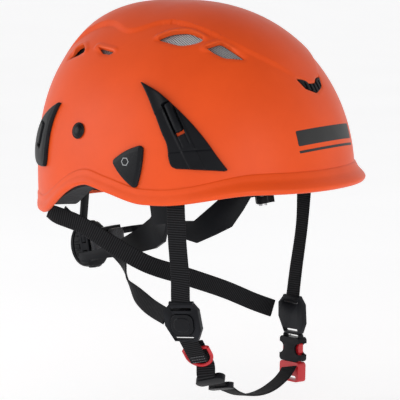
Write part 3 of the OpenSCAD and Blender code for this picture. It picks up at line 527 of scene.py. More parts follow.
def band_w(x):
    front = 46 * (1 - np.clip((x - 20) / 106, 0, 1.2) ** 4.3)
    return np.where(x > 20, front, 46 + 12 * np.exp(-((x + 12) / 20) ** 2))


def band_edge(p):
    """Distance outside the raised top band's edge, and the way to it."""
    x, y = p[..., 0], p[..., 1]
    w = band_w(x)
    slope = (band_w(x + 0.5) - band_w(x - 0.5))
    k = np.sqrt(1 + slope ** 2)
    return (np.abs(y) - w) / k, -slope / k, np.sign(y) / k


def band_up(p):
    x = p[..., 0]
    d, _, _ = band_edge(p)
    return ((2 + 1.5 * ss(0, 60, -x)) * ss(-96, -66, x) * ss(122, 104, x)) * ss(2.4, 0.0, d)


def top_z(x, y, g=G_OUT):
    a = np.where(x >= 0, g[0], g[1])
    fx, fy = np.abs(x / a) ** PLAN_N, np.abs(y / g[2]) ** PLAN_N
    rn = fx + fy + 1e-12
    m = SIDE_M + (np.where(x >= 0, FRONT_M, REAR_M) - SIDE_M) * fx / rn
    return WIDEST + (g[3] - WIDEST) * (1 - np.clip(rn, 0, 1) ** (m / PLAN_N)) ** (1 / m)


def snap_holes(p, holes, r):
    """Moves points near a hole's outline onto it. Returns 1 on an outline, 2 inside a hole, else 0."""
    state = np.zeros(p.shape[:-1], int)
    for plane, pts, mirror in holes:
        flip = np.array([1, -1, 1.0]) if mirror else np.ones(3)
        q = p * flip
        lx, ly, ln = plane.local(q)
        reach = np.abs(pts).max() + 6
        near = (ln > -26) & (np.abs(lx) < reach) & (np.abs(ly) < reach)
        d, bx, by = outline_sdf(lx[near], ly[near], pts)
        st = np.where(d <= -r, 2, np.where(d < r, 1, 0))
        moved = plane.on(bx, by) * flip
        sub = p[near]
        sub[st == 1] = moved[st == 1]
        p[near] = sub
        old = state[near]
        state[near] = np.maximum(old, st)
    return state


def grid_faces(state, offset=0, wrap=True):
    """Quads of a grid of rows, without those in holes; a cut corner leaves a triangle."""
    rows, n = state.shape
    faces = []
    cols = n if wrap else n - 1
    k, i = np.meshgrid(np.arange(rows - 1), np.arange(cols), indexing="ij")
    j = (i + 1) % n
    quad = np.stack([k * n + i, k * n + j, (k + 1) * n + j, (k + 1) * n + i], -1).reshape(-1, 4)
    st = state.reshape(-1)[quad]
    solid = (st.max(1) < 2) & (st.min(1) == 0)
    faces = (quad[solid] + offset).tolist()
    for q, s in zip(quad[~solid], st[~solid]):
        keep = [int(v) + offset for v, w in zip(q, s) if w < 2]
        if len(keep) == 3 and (s == 0).any():
            faces.append(keep)
    return faces


def border(faces):
    """Edges that belong to one face only."""
    seen = {}
    for f in faces:
        for a, b in zip(f, f[1:] + f[:1]):
            key = (a, b) if a < b else (b, a)
            seen[key] = None if key in seen else (a, b)
    return [e for e in seen.values() if e]


def down_rows(n, m, zc, g):
    f = np.arange(n) * 360 / n
    e = np.degrees(np.arcsin((zc - WIDEST) / (g[3] - WIDEST)))
    rows = []
    for k in range(1, m + 1):
        z = WIDEST + (g[3] - WIDEST) * np.sin(np.radians(90 - k / m * (90 - e)))
        rows.append(skin(f, z, g))
    return f, np.array(rows)


# ---------------------------------------------------------------- shell
def build_shell():
    n, m = 660, 156
    f0 = np.arange(n) * 360 / n
    f, p = down_rows(n, m, rim_z(f0) + crease_h(f0), G_OUT)
    cell = 1.25
    # Lines of the grid are drawn onto both edges of the top band's step
    for target in (0.0, 2.4):
        d, gx, gy = band_edge(p)
        pick = (np.abs(d - target) < 0.5 * cell) & (p[..., 0] > -100) & (p[..., 0] < 124) & (p[..., 2] > 40)
        x = np.where(pick, p[..., 0] - (d - target) * gx, p[..., 0])
        y = np.where(pick, p[..., 1] - (d - target) * gy, p[..., 1])
        p = np.stack([x, y, np.where(pick, top_z(x, y), p[..., 2])], -1)
    holes = [(pl, o, mir) for pl, o in VENTS for mir in (False, True)]
    holes += [(CAP, circle(7.8, *CAP_PIN), mir) for mir in (False, True)]
    holes += [(INSERT, INSERT_OUT, False)]
    state = snap_holes(p, holes, 0.55 * cell)
    up = band_up(p)
    nrm = normal(p)
    inner = p - nrm * WALL
    outer = p + np.array([0, 0, 1.0]) * up[..., None]
    # The upper lip of each vent stands up a little, and every hole's edge is eased
    lip = np.zeros(up.shape)
    for (pl, o), height in zip(VENTS, (1.5, 1.3, 1.1, 1.0)):
        for flip in (1, -1):
            lx, ly, ln = pl.local(p * np.array([1, flip, 1.0]))
            near = (ln > -26) & (np.abs(lx) < 40) & (np.abs(ly) < 30)
            d, bx, by = outline_sdf(lx[near], ly[near], o)
            side = ss(-2.5, 3.0, ly[near])
            lip[near] += height * side * ss(5.5, 0.8, d) * (d > -0.5)
            lip[near] -= 0.9 * (1 - side) * ss(4.0, 0.0, d)
    outer = outer + nrm * (lip - 0.55 * (state == 1))[..., None]
    # Rim: out from the crease, round the edge and back up inside
    h = nrm[-1] * np.array([1, 1, 0])
    h = skin(f, np.zeros(n) + 0.0) * 0 + normal(skin(f, np.zeros(n))) * np.array([1, 1, 0])
    h /= np.linalg.norm(h, axis=-1, keepdims=True)
    prof = [(0, 0), (0.03, 0.02), (0.35, 0.35), (0.62, 0.85), (0.82, 1.1), (0.93, 1.08), (1, 0.9)]
    prof_in = [(1, 0.6), (0.8, 0.72), (0.35, 0.1), (0.1, 0.0)]
    drops = np.concatenate([[0.02, 0.05], np.linspace(0.1, 1, 19)])
    px, py = zip(*prof)
    outs = np.interp(drops, px, py)
    outs = np.convolve(np.pad(outs, 2, mode="edge"), [0.1, 0.2, 0.4, 0.2, 0.1], "valid")
    rz, ch, ro = rim_z(f), crease_h(f), rim_out(f)

    def rim_row(g, drop, out, extra=0.0, sink=0.0):
        z = rz + ch * (1 - drop)
        q = skin(f, z, g) + h * (out * ro + extra)[:, None] if np.ndim(extra) else \
            skin(f, z, g) + h * (out * ro + extra)[:, None]
        return q - np.array([0, 0, 1.0]) * sink
    rows = [rim_row(G_OUT, d, o, 0.55 * float(ss(0.0, 0.05, d)) * float(ss(0.5, 0.12, d)))
            for d, o in zip(drops, outs)]
    last_out = rim_row(G_OUT, 1, 0.9)
    g_in = tuple(v - WALL for v in G_OUT)
    first_in = rim_row(g_in, 1, 0.6)
    nose = []
    for a in (30, 60, 90, 120, 150):
        t = (1 - math.cos(math.radians(a))) / 2
        nose.append(last_out * (1 - t) + first_in * t
                    - np.array([0, 0, 1.0]) * 1.1 * math.sin(math.radians(a)))
    inside = [rim_row(g_in, d, o) for d, o in prof_in]
    verts = [np.array([[0, 0, CROWN + 2.0]]), outer.reshape(-1, 3)]
    rim = np.array(rows + nose + inside)
    verts += [rim.reshape(-1, 3), inner.reshape(-1, 3), np.array([[0, 0, CROWN - WALL]])]
    base_o, base_r = 1, 1 + n * m
    base_i = base_r + rim.shape[0] * n
    tip = base_i + n * m
    faces = grid_faces(state, base_o)
    holes_edge = border(faces)
    both = n * (m - 1) + base_o
    walls = [e for e in holes_edge if not (e[0] >= both and e[1] >= both) and not (e[0] < base_o + n and e[1] < base_o + n)]
    faces += [[b, a, a - base_o + base_i, b - base_o + base_i] for a, b in walls]
    faces += [list(reversed(q)) for q in grid_faces(state, base_i)]
    faces += grid_faces(np.zeros((rim.shape[0], n), int), base_r)
    ring = np.arange(n)
    nxt = (ring + 1) % n
    top = base_o + n * (m - 1)
    faces += np.stack([top + ring, top + nxt, base_r + nxt, base_r + ring], -1).tolist()
    end = base_r + (rim.shape[0] - 1) * n
    bot = base_i + n * (m - 1)
    faces += np.stack([end + ring, end + nxt, bot + nxt, bot + ring], -1).tolist()
    faces += [[0, base_o + int(j), base_o + int(i)] for i, j in zip(ring, nxt)]
    faces += [[tip, base_i + int(i), base_i + int(j)] for i, j in zip(ring, nxt)]
    return make("shell_moulded", np.concatenate(verts), faces, M_SHELL, "helmet", "shell", sharp=50)


# ---------------------------------------------------------------- liner
def build_liner():
    n, m = 300, 64
    f0 = np.arange(n) * 360 / n
    f, p = down_rows(n, m, liner_z(f0), G_FOAM)
    _, q = down_rows(n, m, liner_z(f0), G_ROOM)
    holes = []
    grow = (0.8, 0.8, 0.8, 1.1)
    for (pl, o), k in zip(VENTS, grow):
        if k and pl is not VENTS[2][0]:
            holes += [(pl, o * k, False), (pl, o * k, True)]
    state = snap_holes_deep(p, holes, 1.3)
    # Cooling channels run back over the inside between the pads
    lane = np.cos(np.radians(f * 6)) ** 2
    depth = 3.0 * ss(0.55, 0.9, lane)[None, :] * (ss(0.15, 0.3, np.linspace(0, 1, m)) * ss(0.92, 0.8, np.linspace(0, 1, m)))[:, None]
    centre = q * 0.0
    out = (p - q)
    q = q + out / (np.linalg.norm(out, axis=-1, keepdims=True) + 1e-9) * depth[..., None]
    verts = np.concatenate([[[0, 0, G_FOAM[3]]], p.reshape(-1, 3), q.reshape(-1, 3), [[0, 0, G_ROOM[3]]]])
    faces = grid_faces(state, 1)
    edge = border(faces)
    lim = 1 + n * (m - 1)
    walls = [e for e in edge if not (e[0] >= lim and e[1] >= lim) and not (e[0] < 1 + n and e[1] < 1 + n)]
    faces += [[b, a, a + n * m, b + n * m] for a, b in walls]
    faces += [list(reversed(x)) for x in grid_faces(state, 1 + n * m)]
    ring = np.arange(n)
    nxt = (ring + 1) % n
    a, b = lim, lim + n * m
    faces += np.stack([a + ring, a + nxt, b + nxt, b + ring], -1).tolist()
    faces += [[0, 1 + int(j), 1 + int(i)] for i, j in zip(ring, nxt)]
    tip = 1 + 2 * n * m
    faces += [[tip, 1 + n * m + int(i), 1 + n * m + int(j)] for i, j in zip(ring, nxt)]
    return make("liner_moulded", verts, faces, M_FOAM, "helmet",
                ("liner_front", "liner_rear", "liner_right", "liner_left", "liner_crown"), sharp=40)


def snap_holes_deep(p, holes, r):
    """As snap_holes, for a surface inside the outer one: points slide across the plane only."""
    state = np.zeros(p.shape[:-1], int)
    for plane, pts, mirror in holes:
        flip = np.array([1, -1, 1.0]) if mirror else np.ones(3)
        lx, ly, ln = plane.local(p * flip)
        reach = np.abs(pts).max() + 6
        near = (ln > -30) & (np.abs(lx) < reach) & (np.abs(ly) < reach)
        d, bx, by = outline_sdf(lx[near], ly[near], pts)
        st = np.where(d <= -r, 2, np.where(d < r, 1, 0))
        moved = (plane.o + bx[:, None] * plane.x + by[:, None] * plane.y + ln[near][:, None] * plane.n) * flip
        sub = p[near]
        sub[st == 1] = moved[st == 1]
        p[near] = sub
        state[near] = np.maximum(state[near], st)
    return state


# ---------------------------------------------------------------- parts that lie on the shell
def skin_solid(name, plane, pts, lo, top, mat, body, replaces, left, cell=0.7, edge=0.8, holes=(), base=None,
               sharp=40):
    """A solid over an outline, lying on the shell from height lo to top(x, y)."""
    x0, y0 = pts.min(0) - cell
    x1, y1 = pts.max(0) + cell
    x, y = np.meshgrid(np.arange(x0, x1 + cell, cell), np.arange(y0, y1 + cell, cell), indexing="ij")
    d, bx, by = outline_sdf(x, y, pts)
    for hole in holes:
        e, hx, hy = outline_sdf(x, y, hole)
        use = -e > d
        d, bx, by = np.where(use, -e, d), np.where(use, hx, bx), np.where(use, hy, by)
    state = np.where(d >= 0.5 * cell, 2, np.where(d > -0.5 * cell, 1, 0))
    x, y = np.where(state == 1, bx, x), np.where(state == 1, by, y)
    depth = np.where(state == 1, 0, -d)
    skin_p = plane.on(x, y)
    nrm = normal(skin_p)
    t = np.clip(depth / edge, 0, 1)
    high = top(x, y, depth) - edge * (1 - np.sqrt(1 - (1 - t) ** 2))
    low = np.full(x.shape, float(lo)) if base is None else base(x, y, depth)
    high = np.maximum(high, low + 0.05)
    n = x.size
    verts = np.concatenate([(skin_p + nrm * high[..., None]).reshape(-1, 3), (skin_p + nrm * low[..., None]).reshape(-1, 3)])
    faces = grid_faces(state, 0, wrap=False)
    walls = [[b, a, a + n, b + n] for a, b in border(faces)]
    faces = faces + [[v + n for v in reversed(q)] for q in faces] + walls
    used = sorted({v for q in faces for v in q})
    index = {v: k for k, v in enumerate(used)}
    faces = [[index[v] for v in q] for q in faces]
    return make(name, verts[used], faces, mat, body, replaces, sharp=sharp, mirror=left)


def turned(pts, at, lean):
    a = math.radians(lean)
    c, s = math.cos(a), math.sin(a)
    p = np.asarray(pts, float)
    return np.stack([at[0] + p[:, 0] * c - p[:, 1] * s, at[1] + p[:, 0] * s + p[:, 1] * c], -1)


def box_pts(x0, x1, y0, y1, r=0.8):
    return rounded([(x0, y0), (x1, y0), (x1, y1), (x0, y1)], r)


CLIP_OUT = curved([(-38, 47), (-20, 38), (-5, 27), (9, 15), (21, 2.5), (31, -10), (38.5, -19), (36, -20), (-1, -20),
                   (-5, -18), (-7.5, -12), (-9.5, -2), (-15, 8), (-22, 22), (-30, 36)], 4, sharp=(0, 6, 7, 8))
CLIP_TIP, CLIP_LEAN, TONGUE_W, TONGUE_L = (0.5, 8), 30.0, 6.0, 25.0
REAR_OUT = curved([(15, 28), (5, 23), (-8, 14), (-18, 3), (-24, -10), (-22, -19), (-12, -25), (2, -25.5), (6, -22),
                   (7, -8), (8, 6), (11, 18)], 4, sharp=(0,))
REAR_TIP, REAR_LEAN = (-9, -8), -14.0


def clip_local(x, y):
    a = math.radians(CLIP_LEAN)
    dx, dy = x - CLIP_TIP[0], y - CLIP_TIP[1]
    return dx * math.cos(a) + dy * math.sin(a), dy * math.cos(a) - dx * math.sin(a)


def clip_top(x, y, d):
    """The spine stands up down the middle; the wings beside the finger lie lower, and the foot has a step."""
    u, v = clip_local(x, y)
    wing = ss(22.5, 20.5, v) * ss(4.6, 6.0, np.abs(u))
    spine = 1.1 * np.exp(-((u + 0.6) / 4.5) ** 2) * ss(18, 26, v)
    foot = 0.8 * ss(-5.5, -8.5, y - 0.12 * x) * ss(-26, -19, v + 0 * x)
    groove = 0.5 * np.exp(-((y - 0.12 * x + 7) / 0.7) ** 2)
    slits = 0.7 * np.exp(-((np.abs(u) - 3.2) / 0.5) ** 2) * ss(-1.6, -2.4, v) * ss(-14, -9, v)
    high = 3.5 - 1.0 * wing + 1.1 * spine + 0.25 * foot - groove - slits
    # The finger lies in a recess, on a thin floor that is open under its tip
    recess = ss(4.3, 3.9, np.abs(u)) * ss(-0.2, 0.2, v) * ss(TONGUE_L + 0.8, TONGUE_L + 0.5, v)
    return high + (0.45 - high) * recess


for left in (False, True):
    side = "left" if left else "right"
    window = turned(box_pts(-TONGUE_W / 2 - 0.4, TONGUE_W / 2 + 0.4, -2.6, 1.0, 0.9), CLIP_TIP, CLIP_LEAN)
    skin_solid("lamp_clip_front_%s_moulded" % side, CLIP, CLIP_OUT, 0.3, clip_top, M_BLACK, "helmet",
               "lamp_clip_front_" + side, left, cell=0.5, edge=1.1, holes=[window])
    finger = turned(box_pts(-TONGUE_W / 2 + 0.1, TONGUE_W / 2 - 0.1, 0.2, TONGUE_L - 0.4, 1.6), CLIP_TIP, CLIP_LEAN)

    def finger_top(x, y, d):
        u, v = clip_local(x, y)
        return 4.5 - 0.9 * (u / 3.0) ** 2 - 0.5 * ss(6, 0, v)
    skin_solid("lamp_finger_front_%s_moulded" % side, CLIP, finger, 0.6, finger_top, M_BLACK,
               "lamp_finger_front_" + side, "lamp_tongue_front_" + side, left, cell=0.5, edge=0.9)
    rear_hole = turned(box_pts(-4.0, 4.0, -2.8, 18.0, 1.6), REAR_TIP, REAR_LEAN)

    def rear_top(x, y, d):
        return 3.3 - 0.7 * ss(6.0, 2.5, d) * 0 + 0.2 * ss(2, 6, d)
    skin_solid("lamp_clip_rear_%s_moulded" % side, REAR, REAR_OUT, 0.3, rear_top, M_BLACK, "helmet",
               "lamp_clip_rear_" + side, left, cell=0.75, edge=1.1, holes=[rear_hole])
    finger = turned(box_pts(-2.4, 2.4, 0.1, 17.6, 1.4), REAR_TIP, REAR_LEAN)
    skin_solid("lamp_finger_rear_%s_moulded" % side, REAR, finger, 0.6, lambda x, y, d: 4.2 + 0 * x, M_BLACK,
               "lamp_finger_rear_" + side, "lamp_tongue_rear_" + side, left, cell=0.5, edge=0.9)

    # Visor cap: a thin rounded triangle with a bevelled edge, and a skirt behind it
    a = np.linspace(0, 2 * math.pi, 40, endpoint=False)
    hull = []
    corners = [((-15, 1.5), 3.5), ((1.5, -13.5), 3.5), ((5, 12), 3.5)]
    for i, (c, r) in enumerate(corners):
        prev, nxt_c = np.array(corners[i - 1][0]), np.array(corners[(i + 1) % 3][0])
        c = np.array(c, float)
        n0 = (c - prev)[[1, 0]] * (1, -1)
        n1 = (nxt_c - c)[[1, 0]] * (1, -1)
        a0, a1 = math.atan2(n0[1], n0[0]), math.atan2(n1[1], n1[0])
        while a1 < a0:
            a1 += 2 * math.pi
        for k in range(9):
            t = a0 + (a1 - a0) * k / 8
            hull.append(c + r * np.array([math.cos(t), math.sin(t)]))
    cap_out = []
    hull = np.array(hull)
    # The long sides bow out a little, as the real cap's do, within the corners' box
    for i in range(len(hull)):
        p0, p1 = hull[i], hull[(i + 1) % len(hull)]
        cap_out.append(p0)
        seg = p1 - p0
        length = np.linalg.norm(seg)
        if length > 6:
            out = np.array([seg[1], -seg[0]]) / length
            for t in (0.125, 0.25, 0.375, 0.5, 0.625, 0.75, 0.875):
                cap_out.append(p0 + seg * t + out * 1.1 * 4 * t * (1 - t))
    cap_out = np.array(cap_out)
    skin_solid("visor_cap_%s_moulded" % side, CAP, cap_out, 0.3, lambda x, y, d: 2.5 + 0.5 * ss(1.2, 3.5, d), M_GLOSS,
               "cap_" + side, "visor_cap_" + side, left, cell=0.6, edge=1.0)
    ring_a = np.arange(48) * 2 * math.pi / 48
    skirt_v, skirt_f = [], []
    prof = [(6.1, -3.8), (7.3, -4.0), (7.35, 0.8), (6.1, 0.8)]
    for r, z in prof:
        for t in ring_a:
            skirt_v.append(CAP.o + CAP.x * (CAP_PIN[0] + r * math.cos(t)) + CAP.y * (CAP_PIN[1] + r * math.sin(t)) + CAP.n * z)
    for k in range(4):
        for i in range(48):
            j = (i + 1) % 48
            skirt_f.append([k * 48 + i, k * 48 + j, (k + 1) % 4 * 48 + j, (k + 1) % 4 * 48 + i])
    make("visor_cap_skirt_" + side, skirt_v, skirt_f, M_BLACK, "cap_" + side, (), mirror=left)
    hexa = circle(3.4, -6.3, 2.5, 6)
    hexa_in = circle(2.75, -6.3, 2.5, 6)
    skin_solid("visor_cap_print_" + side, CAP, hexa, 2.9, lambda x, y, d: 3.06 + 0 * x, M_GREY, "cap_" + side, (),
               left, cell=0.3, edge=0.02, holes=[hexa_in])

INSERT_FIT = np.array([0, -4.0]) + 0.92 * (INSERT_OUT - np.array([0, -4.0]))


def insert_top(x, y, d):
    slots = 0.0
    for k in range(-2, 3):
        slots = slots + ss(1.1, 0.6, np.abs(x - k * 5)) * ss(-6.5, -5.5, y) * ss(3.6, 2.6, y)
    return 0.3 - 2.2 * slots


skin_solid("front_vent_insert_moulded", INSERT, INSERT_FIT, -3.6, insert_top, M_BLACK, "helmet", "front_vent_insert",
           False, cell=0.4, edge=0.5)

shell = build_shell()
liner = build_liner()


# ---------------------------------------------------------------- vent mesh
def build_mesh(left):
    """Fine diagonal wires behind each vent, held in a thin frame."""
    verts, faces = [], []

    def wire(line, half, depth):
        base = len(verts)
        for i in range(len(line)):
            a, b = line[max(0, i - 1)], line[min(len(line) - 1, i + 1)]
            n = wire_n[i]
            s = np.cross(b - a, n)
            s /= np.linalg.norm(s) + 1e-9
            c = line[i] + n * depth
            verts.extend([c + s * half, c + n * half * 0.8, c - s * half, c - n * half * 0.8])
        for i in range(len(line) - 1):
            for k in range(4):
                a, b = base + 4 * i + k, base + 4 * i + (k + 1) % 4
                faces.append([a, b, b + 4, a + 4])
        faces.append([base, base + 1, base + 2, base + 3])
        e = base + 4 * (len(line) - 1)
        faces.append([e + 3, e + 2, e + 1, e])

    for plane, o in VENTS[:3]:
        zone = o * 1.0
        grow = 3.2
        reach = float(np.abs(o).max()) + 6
        for turn in (40, 140):
            a = math.radians(turn)
            dx, dy = math.cos(a), math.sin(a)
            for k in np.arange(-reach, reach, 1.55):
                s = np.arange(-reach, reach, 1.6)
                x, y = -dy * k + dx * s, dx * k + dy * s
                d, _, _ = outline_sdf(x, y, zone)
                ok = np.nonzero(d < grow)[0]
                if len(ok) < 3:
                    continue
                ok = np.arange(ok[0], ok[-1] + 1)
                line = plane.on(x[ok], y[ok])
                wire_n = normal(line)
                wire(line, 0.42, -(WALL + 0.95) + (0.22 if turn > 90 else -0.22))
    # The frame that the wires are let into runs round all three vents
    f0, f1, z0, z1 = -123, -34, 79, 109
    loop = []
    for t in np.linspace(0, 1, 40, endpoint=False):
        loop.append((f0 + (f1 - f0) * t, z0))
    for t in np.linspace(0, 1, 16, endpoint=False):
        loop.append((f1, z0 + (z1 - z0) * t))
    for t in np.linspace(0, 1, 40, endpoint=False):
        loop.append((f1 + (f0 - f1) * t, z1))
    for t in np.linspace(0, 1, 17):
        loop.append((f0, z1 + (z0 - z1) * t))
    fz = np.array(loop)
    line = skin(fz[:, 0], fz[:, 1])
    wire_n = normal(line)
    wire(line, 0.44, -(WALL + 0.95))
    side = "left" if left else "right"
    return make("vent_mesh_%s_woven" % side, verts, faces, M_MESH, "helmet", "vent_mesh_" + side,
                mirror=left, sharp=60)


for left in (False, True):
    build_mesh(left)


# ---------------------------------------------------------------- rivets
def lathe(name, frame_o, fx, fy, fz, prof, mat, body, replaces, mirror=False, n=48, sharp=35):
    verts, faces = [], []
    for r, z in prof:
        for k in range(n):
            a = 2 * math.pi * k / n
            verts.append(frame_o + fx * r * math.cos(a) + fy * r * math.sin(a) + fz * z)
    m = len(prof)
    for i in range(m - 1):
        for k in range(n):
            j = (k + 1) % n
            faces.append([i * n + k, i * n + j, (i + 1) * n + j, (i + 1) * n + k])
    faces.append(list(range(n - 1, -1, -1)))
    faces.append([(m - 1) * n + k for k in range(n)])
    return make(name, verts, faces, mat, body, replaces, mirror=mirror, sharp=sharp)


for left in (False, True):
    side = "left" if left else "right"
    dome = [(0.01, -15), (3, -15), (3, 0.4), (6.5, 0.4), (6.6, 0.9), (6.3, 1.5), (5.9, 1.75), (5.5, 1.6), (5.2, 1.7)]
    dome += [(5.1 * math.cos(math.radians(t)), 1.7 + 2.0 * math.sin(math.radians(t))) for t in range(8, 84, 8)]
    dome += [(0.01, 3.75)]
    lathe("rivet_%s_turned" % side, RIVET.o, RIVET.x, RIVET.y, RIVET.n, dome, M_GLOSS, "helmet", "rivet_" + side,
          mirror=left)


# ---------------------------------------------------------------- webbing
def smooth(pts, k):
    p = np.asarray(pts, float)
    n, out = len(p), []
    for i in range(n - 1):
        a, b, c, d = p[max(0, i - 1)], p[i], p[i + 1], p[min(n - 1, i + 2)]
        for j in range(k + (1 if i == n - 2 else 0)):
            t = j / k
            out.append(0.5 * (2 * b + (c - a) * t + (2 * a - 5 * b + 4 * c - d) * t * t
                              + (3 * b - a - 3 * c + d) * t ** 3))
    return np.array(out)


def webbing(name, route, face, w, t, body, replaces, blend=None, stitch=(), mat=None):
    """Woven webbing with real ribs across it and rounded selvedges, along a route."""
    p, q = smooth(route, 24), smooth(face, 24)
    seg = np.concatenate([[0], np.cumsum(np.linalg.norm(np.diff(p, axis=0), axis=1))])
    step = 0.42
    s = np.linspace(0, seg[-1], max(4, int(seg[-1] / step)))
    p = np.stack([np.interp(s, seg, p[:, i]) for i in range(3)], -1)
    q = np.stack([np.interp(s, seg, q[:, i]) for i in range(3)], -1)
    d = np.gradient(p, axis=0)
    d /= np.linalg.norm(d, axis=1, keepdims=True)
    f = q - d * (q * d).sum(1, keepdims=True)
    f /= np.linalg.norm(f, axis=1, keepdims=True)
    r = np.cross(d, f)
    rib = 0.5 + 0.5 * np.cos(2 * math.pi * s / 1.9)
    half, th = w / 2, t / 2
    across = np.array([-1, -0.96, -0.86, -0.6, -0.3, 0, 0.3, 0.6, 0.86, 0.96, 1])
    edge_drop = np.array([0.72, 0.3, 0.06, 0, 0, 0, 0, 0, 0.06, 0.3, 0.72])
    warp = np.array([0, 0.03, 0.05, 0.02, 0.05, 0.02, 0.05, 0.02, 0.05, 0.03, 0])
    verts, weave = [], []
    ring_n = 2 * len(across)
    for sign in (1, -1):
        pass
    for i in range(len(p)):
        wob = 1 - 0.012 * (1 - rib[i])
        for sign in (1, -1):
            order = range(len(across)) if sign > 0 else range(len(across) - 1, -1, -1)
            for k in order:
                h = th * (1 - edge_drop[k]) - 0.13 * (1 - rib[i]) * (1 - edge_drop[k]) - warp[k] * 0.5
                verts.append(p[i] + r[i] * across[k] * half * wob + f[i] * sign * h)
                weave.append((across[k] * half, s[i], 0))
    faces = []
    for i in range(len(p) - 1):
        for k in range(ring_n):
            a, b = i * ring_n + k, i * ring_n + (k + 1) % ring_n
            faces.append([a, b, b + ring_n, a + ring_n])
    faces.append(list(range(ring_n - 1, -1, -1)))
    e = (len(p) - 1) * ring_n
    faces.append([e + k for k in range(ring_n)])
    mesh = bpy.data.meshes.new(name)
    mesh.from_pydata((np.array(verts) * MM).tolist(), [], faces)
    at = mesh.attributes.new("weave", "FLOAT_VECTOR", "POINT")
    at.data.foreach_set("vector", np.array(weave, np.float32).reshape(-1))
    bm = bmesh.new()
    bm.from_mesh(mesh)
    bmesh.ops.recalc_face_normals(bm, faces=bm.faces)
    bm.to_mesh(mesh)
    bm.free()
    mesh.polygons.foreach_set("use_smooth", [True] * len(mesh.polygons))
    mesh.set_sharp_from_angle(angle=math.radians(60))
    obj = bpy.data.objects.new(name, mesh)
    scene.collection.objects.link(obj)
    mesh.materials.append(mat or M_WEB)
    if blend:
        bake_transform(obj)
    else:
        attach(obj, body)
    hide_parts(*([replaces] if isinstance(replaces, str) else replaces))
    # Rows of stitching across the webbing, at these distances from its start
    for row, at_s in enumerate(stitch):
        sv, sf = [], []
        i0 = int(np.argmin(np.abs(s - at_s)))
        for c in np.arange(-half + 1.6, half - 1.4, 1.5):
            base = len(sv)
            o = p[i0] + r[i0] * c
            for ax, ay in ((-0.5, -0.2), (0.5, -0.2), (0.5, 0.2), (-0.5, 0.2)):
                for h in (th - 0.25, th + 0.12):
                    sv.append(o + r[i0] * ax + d[i0] * (ay + 0.25 * ax) + f[i0] * h)
            sf += [[base, base + 2, base + 4, base + 6], [base + 1, base + 7, base + 5, base + 3]]
            sf += [[base + 2 * k, base + 2 * k + 1, base + (2 * k + 3) % 8, base + (2 * k + 2) % 8] for k in range(4)]
        make("%s_stitch_%d" % (name, row), sv, sf, M_STITCH, body, (), smooth=False)
    return obj


def unit(v):
    v = np.asarray(v, float)
    return v / np.linalg.norm(v)


DIV_R = [(55, -80, -118), (0.03, 0.16, -1), (0.25, -1, -0.1)]
DIV_L = [(55, 79, -138.5), (0.03, -0.04, -1), (0.25, 1, 0)]
RING = [(57.5, -68, -144), (0.08, 0.55, -0.83), (0.3, -0.8, -0.5)]
SLIDER = [(60, -50, -169), (0.1, 0.85, -0.6), (0.3, -0.6, -0.8)]
KEEPER = [(60.5, -36, -177), (0.05, 0.9, -0.35), (0.2, -0.35, -0.9)]
SOCK = [(56, 78, -167.3), (0.02, -0.06, -1), (0.25, 1, 0)]


def at(p, s, out=0.0):
    return tuple(np.array(p[0], float) + unit(p[1]) * s + unit(p[2]) * out)


WEB_W, WEB_T = 16.0, 1.6
webbing("strap_front_right_woven", [(57, -93, 4), (57, -92.6, -20), (57.5, -91.5, -50), (57, -87, -80), at(DIV_R, -18.4),
                                    at(DIV_R, -13.5, -0.6), at(DIV_R, -11.2, -3.2)],
        [(0.1, -1, 0), (0.1, -1, 0), (0.15, -1, 0), (0.2, -1, 0), DIV_R[2], (0.2, -0.9, 0.3), (0.1, -0.5, 0.8)],
        WEB_W, WEB_T, "helmet", "strap_front_right")
webbing("strap_front_left_woven", [(57, 93, 4), (57, 92.6, -20), (56, 91, -60), (54.5, 84, -100), at(DIV_L, -17.6),
                                   at(DIV_L, -13.5, -0.6), at(DIV_L, -11.2, -3.2)],
        [(0.1, 1, 0), (0.1, 1, 0), (0.35, 1, 0), (0.3, 1, 0), DIV_L[2], (0.2, 0.9, 0.3), (0.1, 0.5, 0.8)],
        WEB_W, WEB_T, "helmet", "strap_front_left")
webbing("strap_rear_right_woven", [(-72, -71, -40), (-65, -68.5, -47), (-47, -62.5, -60), (-24, -58.5, -77),
                                   (-12, -61.5, -98), (12, -70, -110), (38, -80.5, -115)],
        [(-0.5, -0.8, -0.3), (-0.4, -0.8, -0.3), (-0.3, -1, -0.2), (-0.4, -0.9, 0), (-0.9, -0.4, 0.1), (-0.1, -1, 0.2),
         (0.1, -1, 0.1)], WEB_W - 2, WEB_T, "helmet", "strap_rear_right")
webbing("strap_rear_left_woven", [(-81, -80, -41), (-74, -78, -44.5), (-52, -73, -51.5), (-26, -66, -66), (0, -54, -81),
                                  (14, -22, -94), (26, 18, -110), (33.5, 50, -124.5), (37.5, 74, -134)],
        [(-0.5, -0.8, 0.1), (-0.4, -0.8, 0.1), (-0.3, -1, 0.1), (-0.1, -1, 0.2), (0.2, -1, 0.1), (0.5, -0.8, 0.1),
         (0.6, -0.7, 0), (0.6, -0.7, 0), (0.8, -0.5, 0.1)], WEB_W - 1, WEB_T, "helmet", "strap_rear_left")
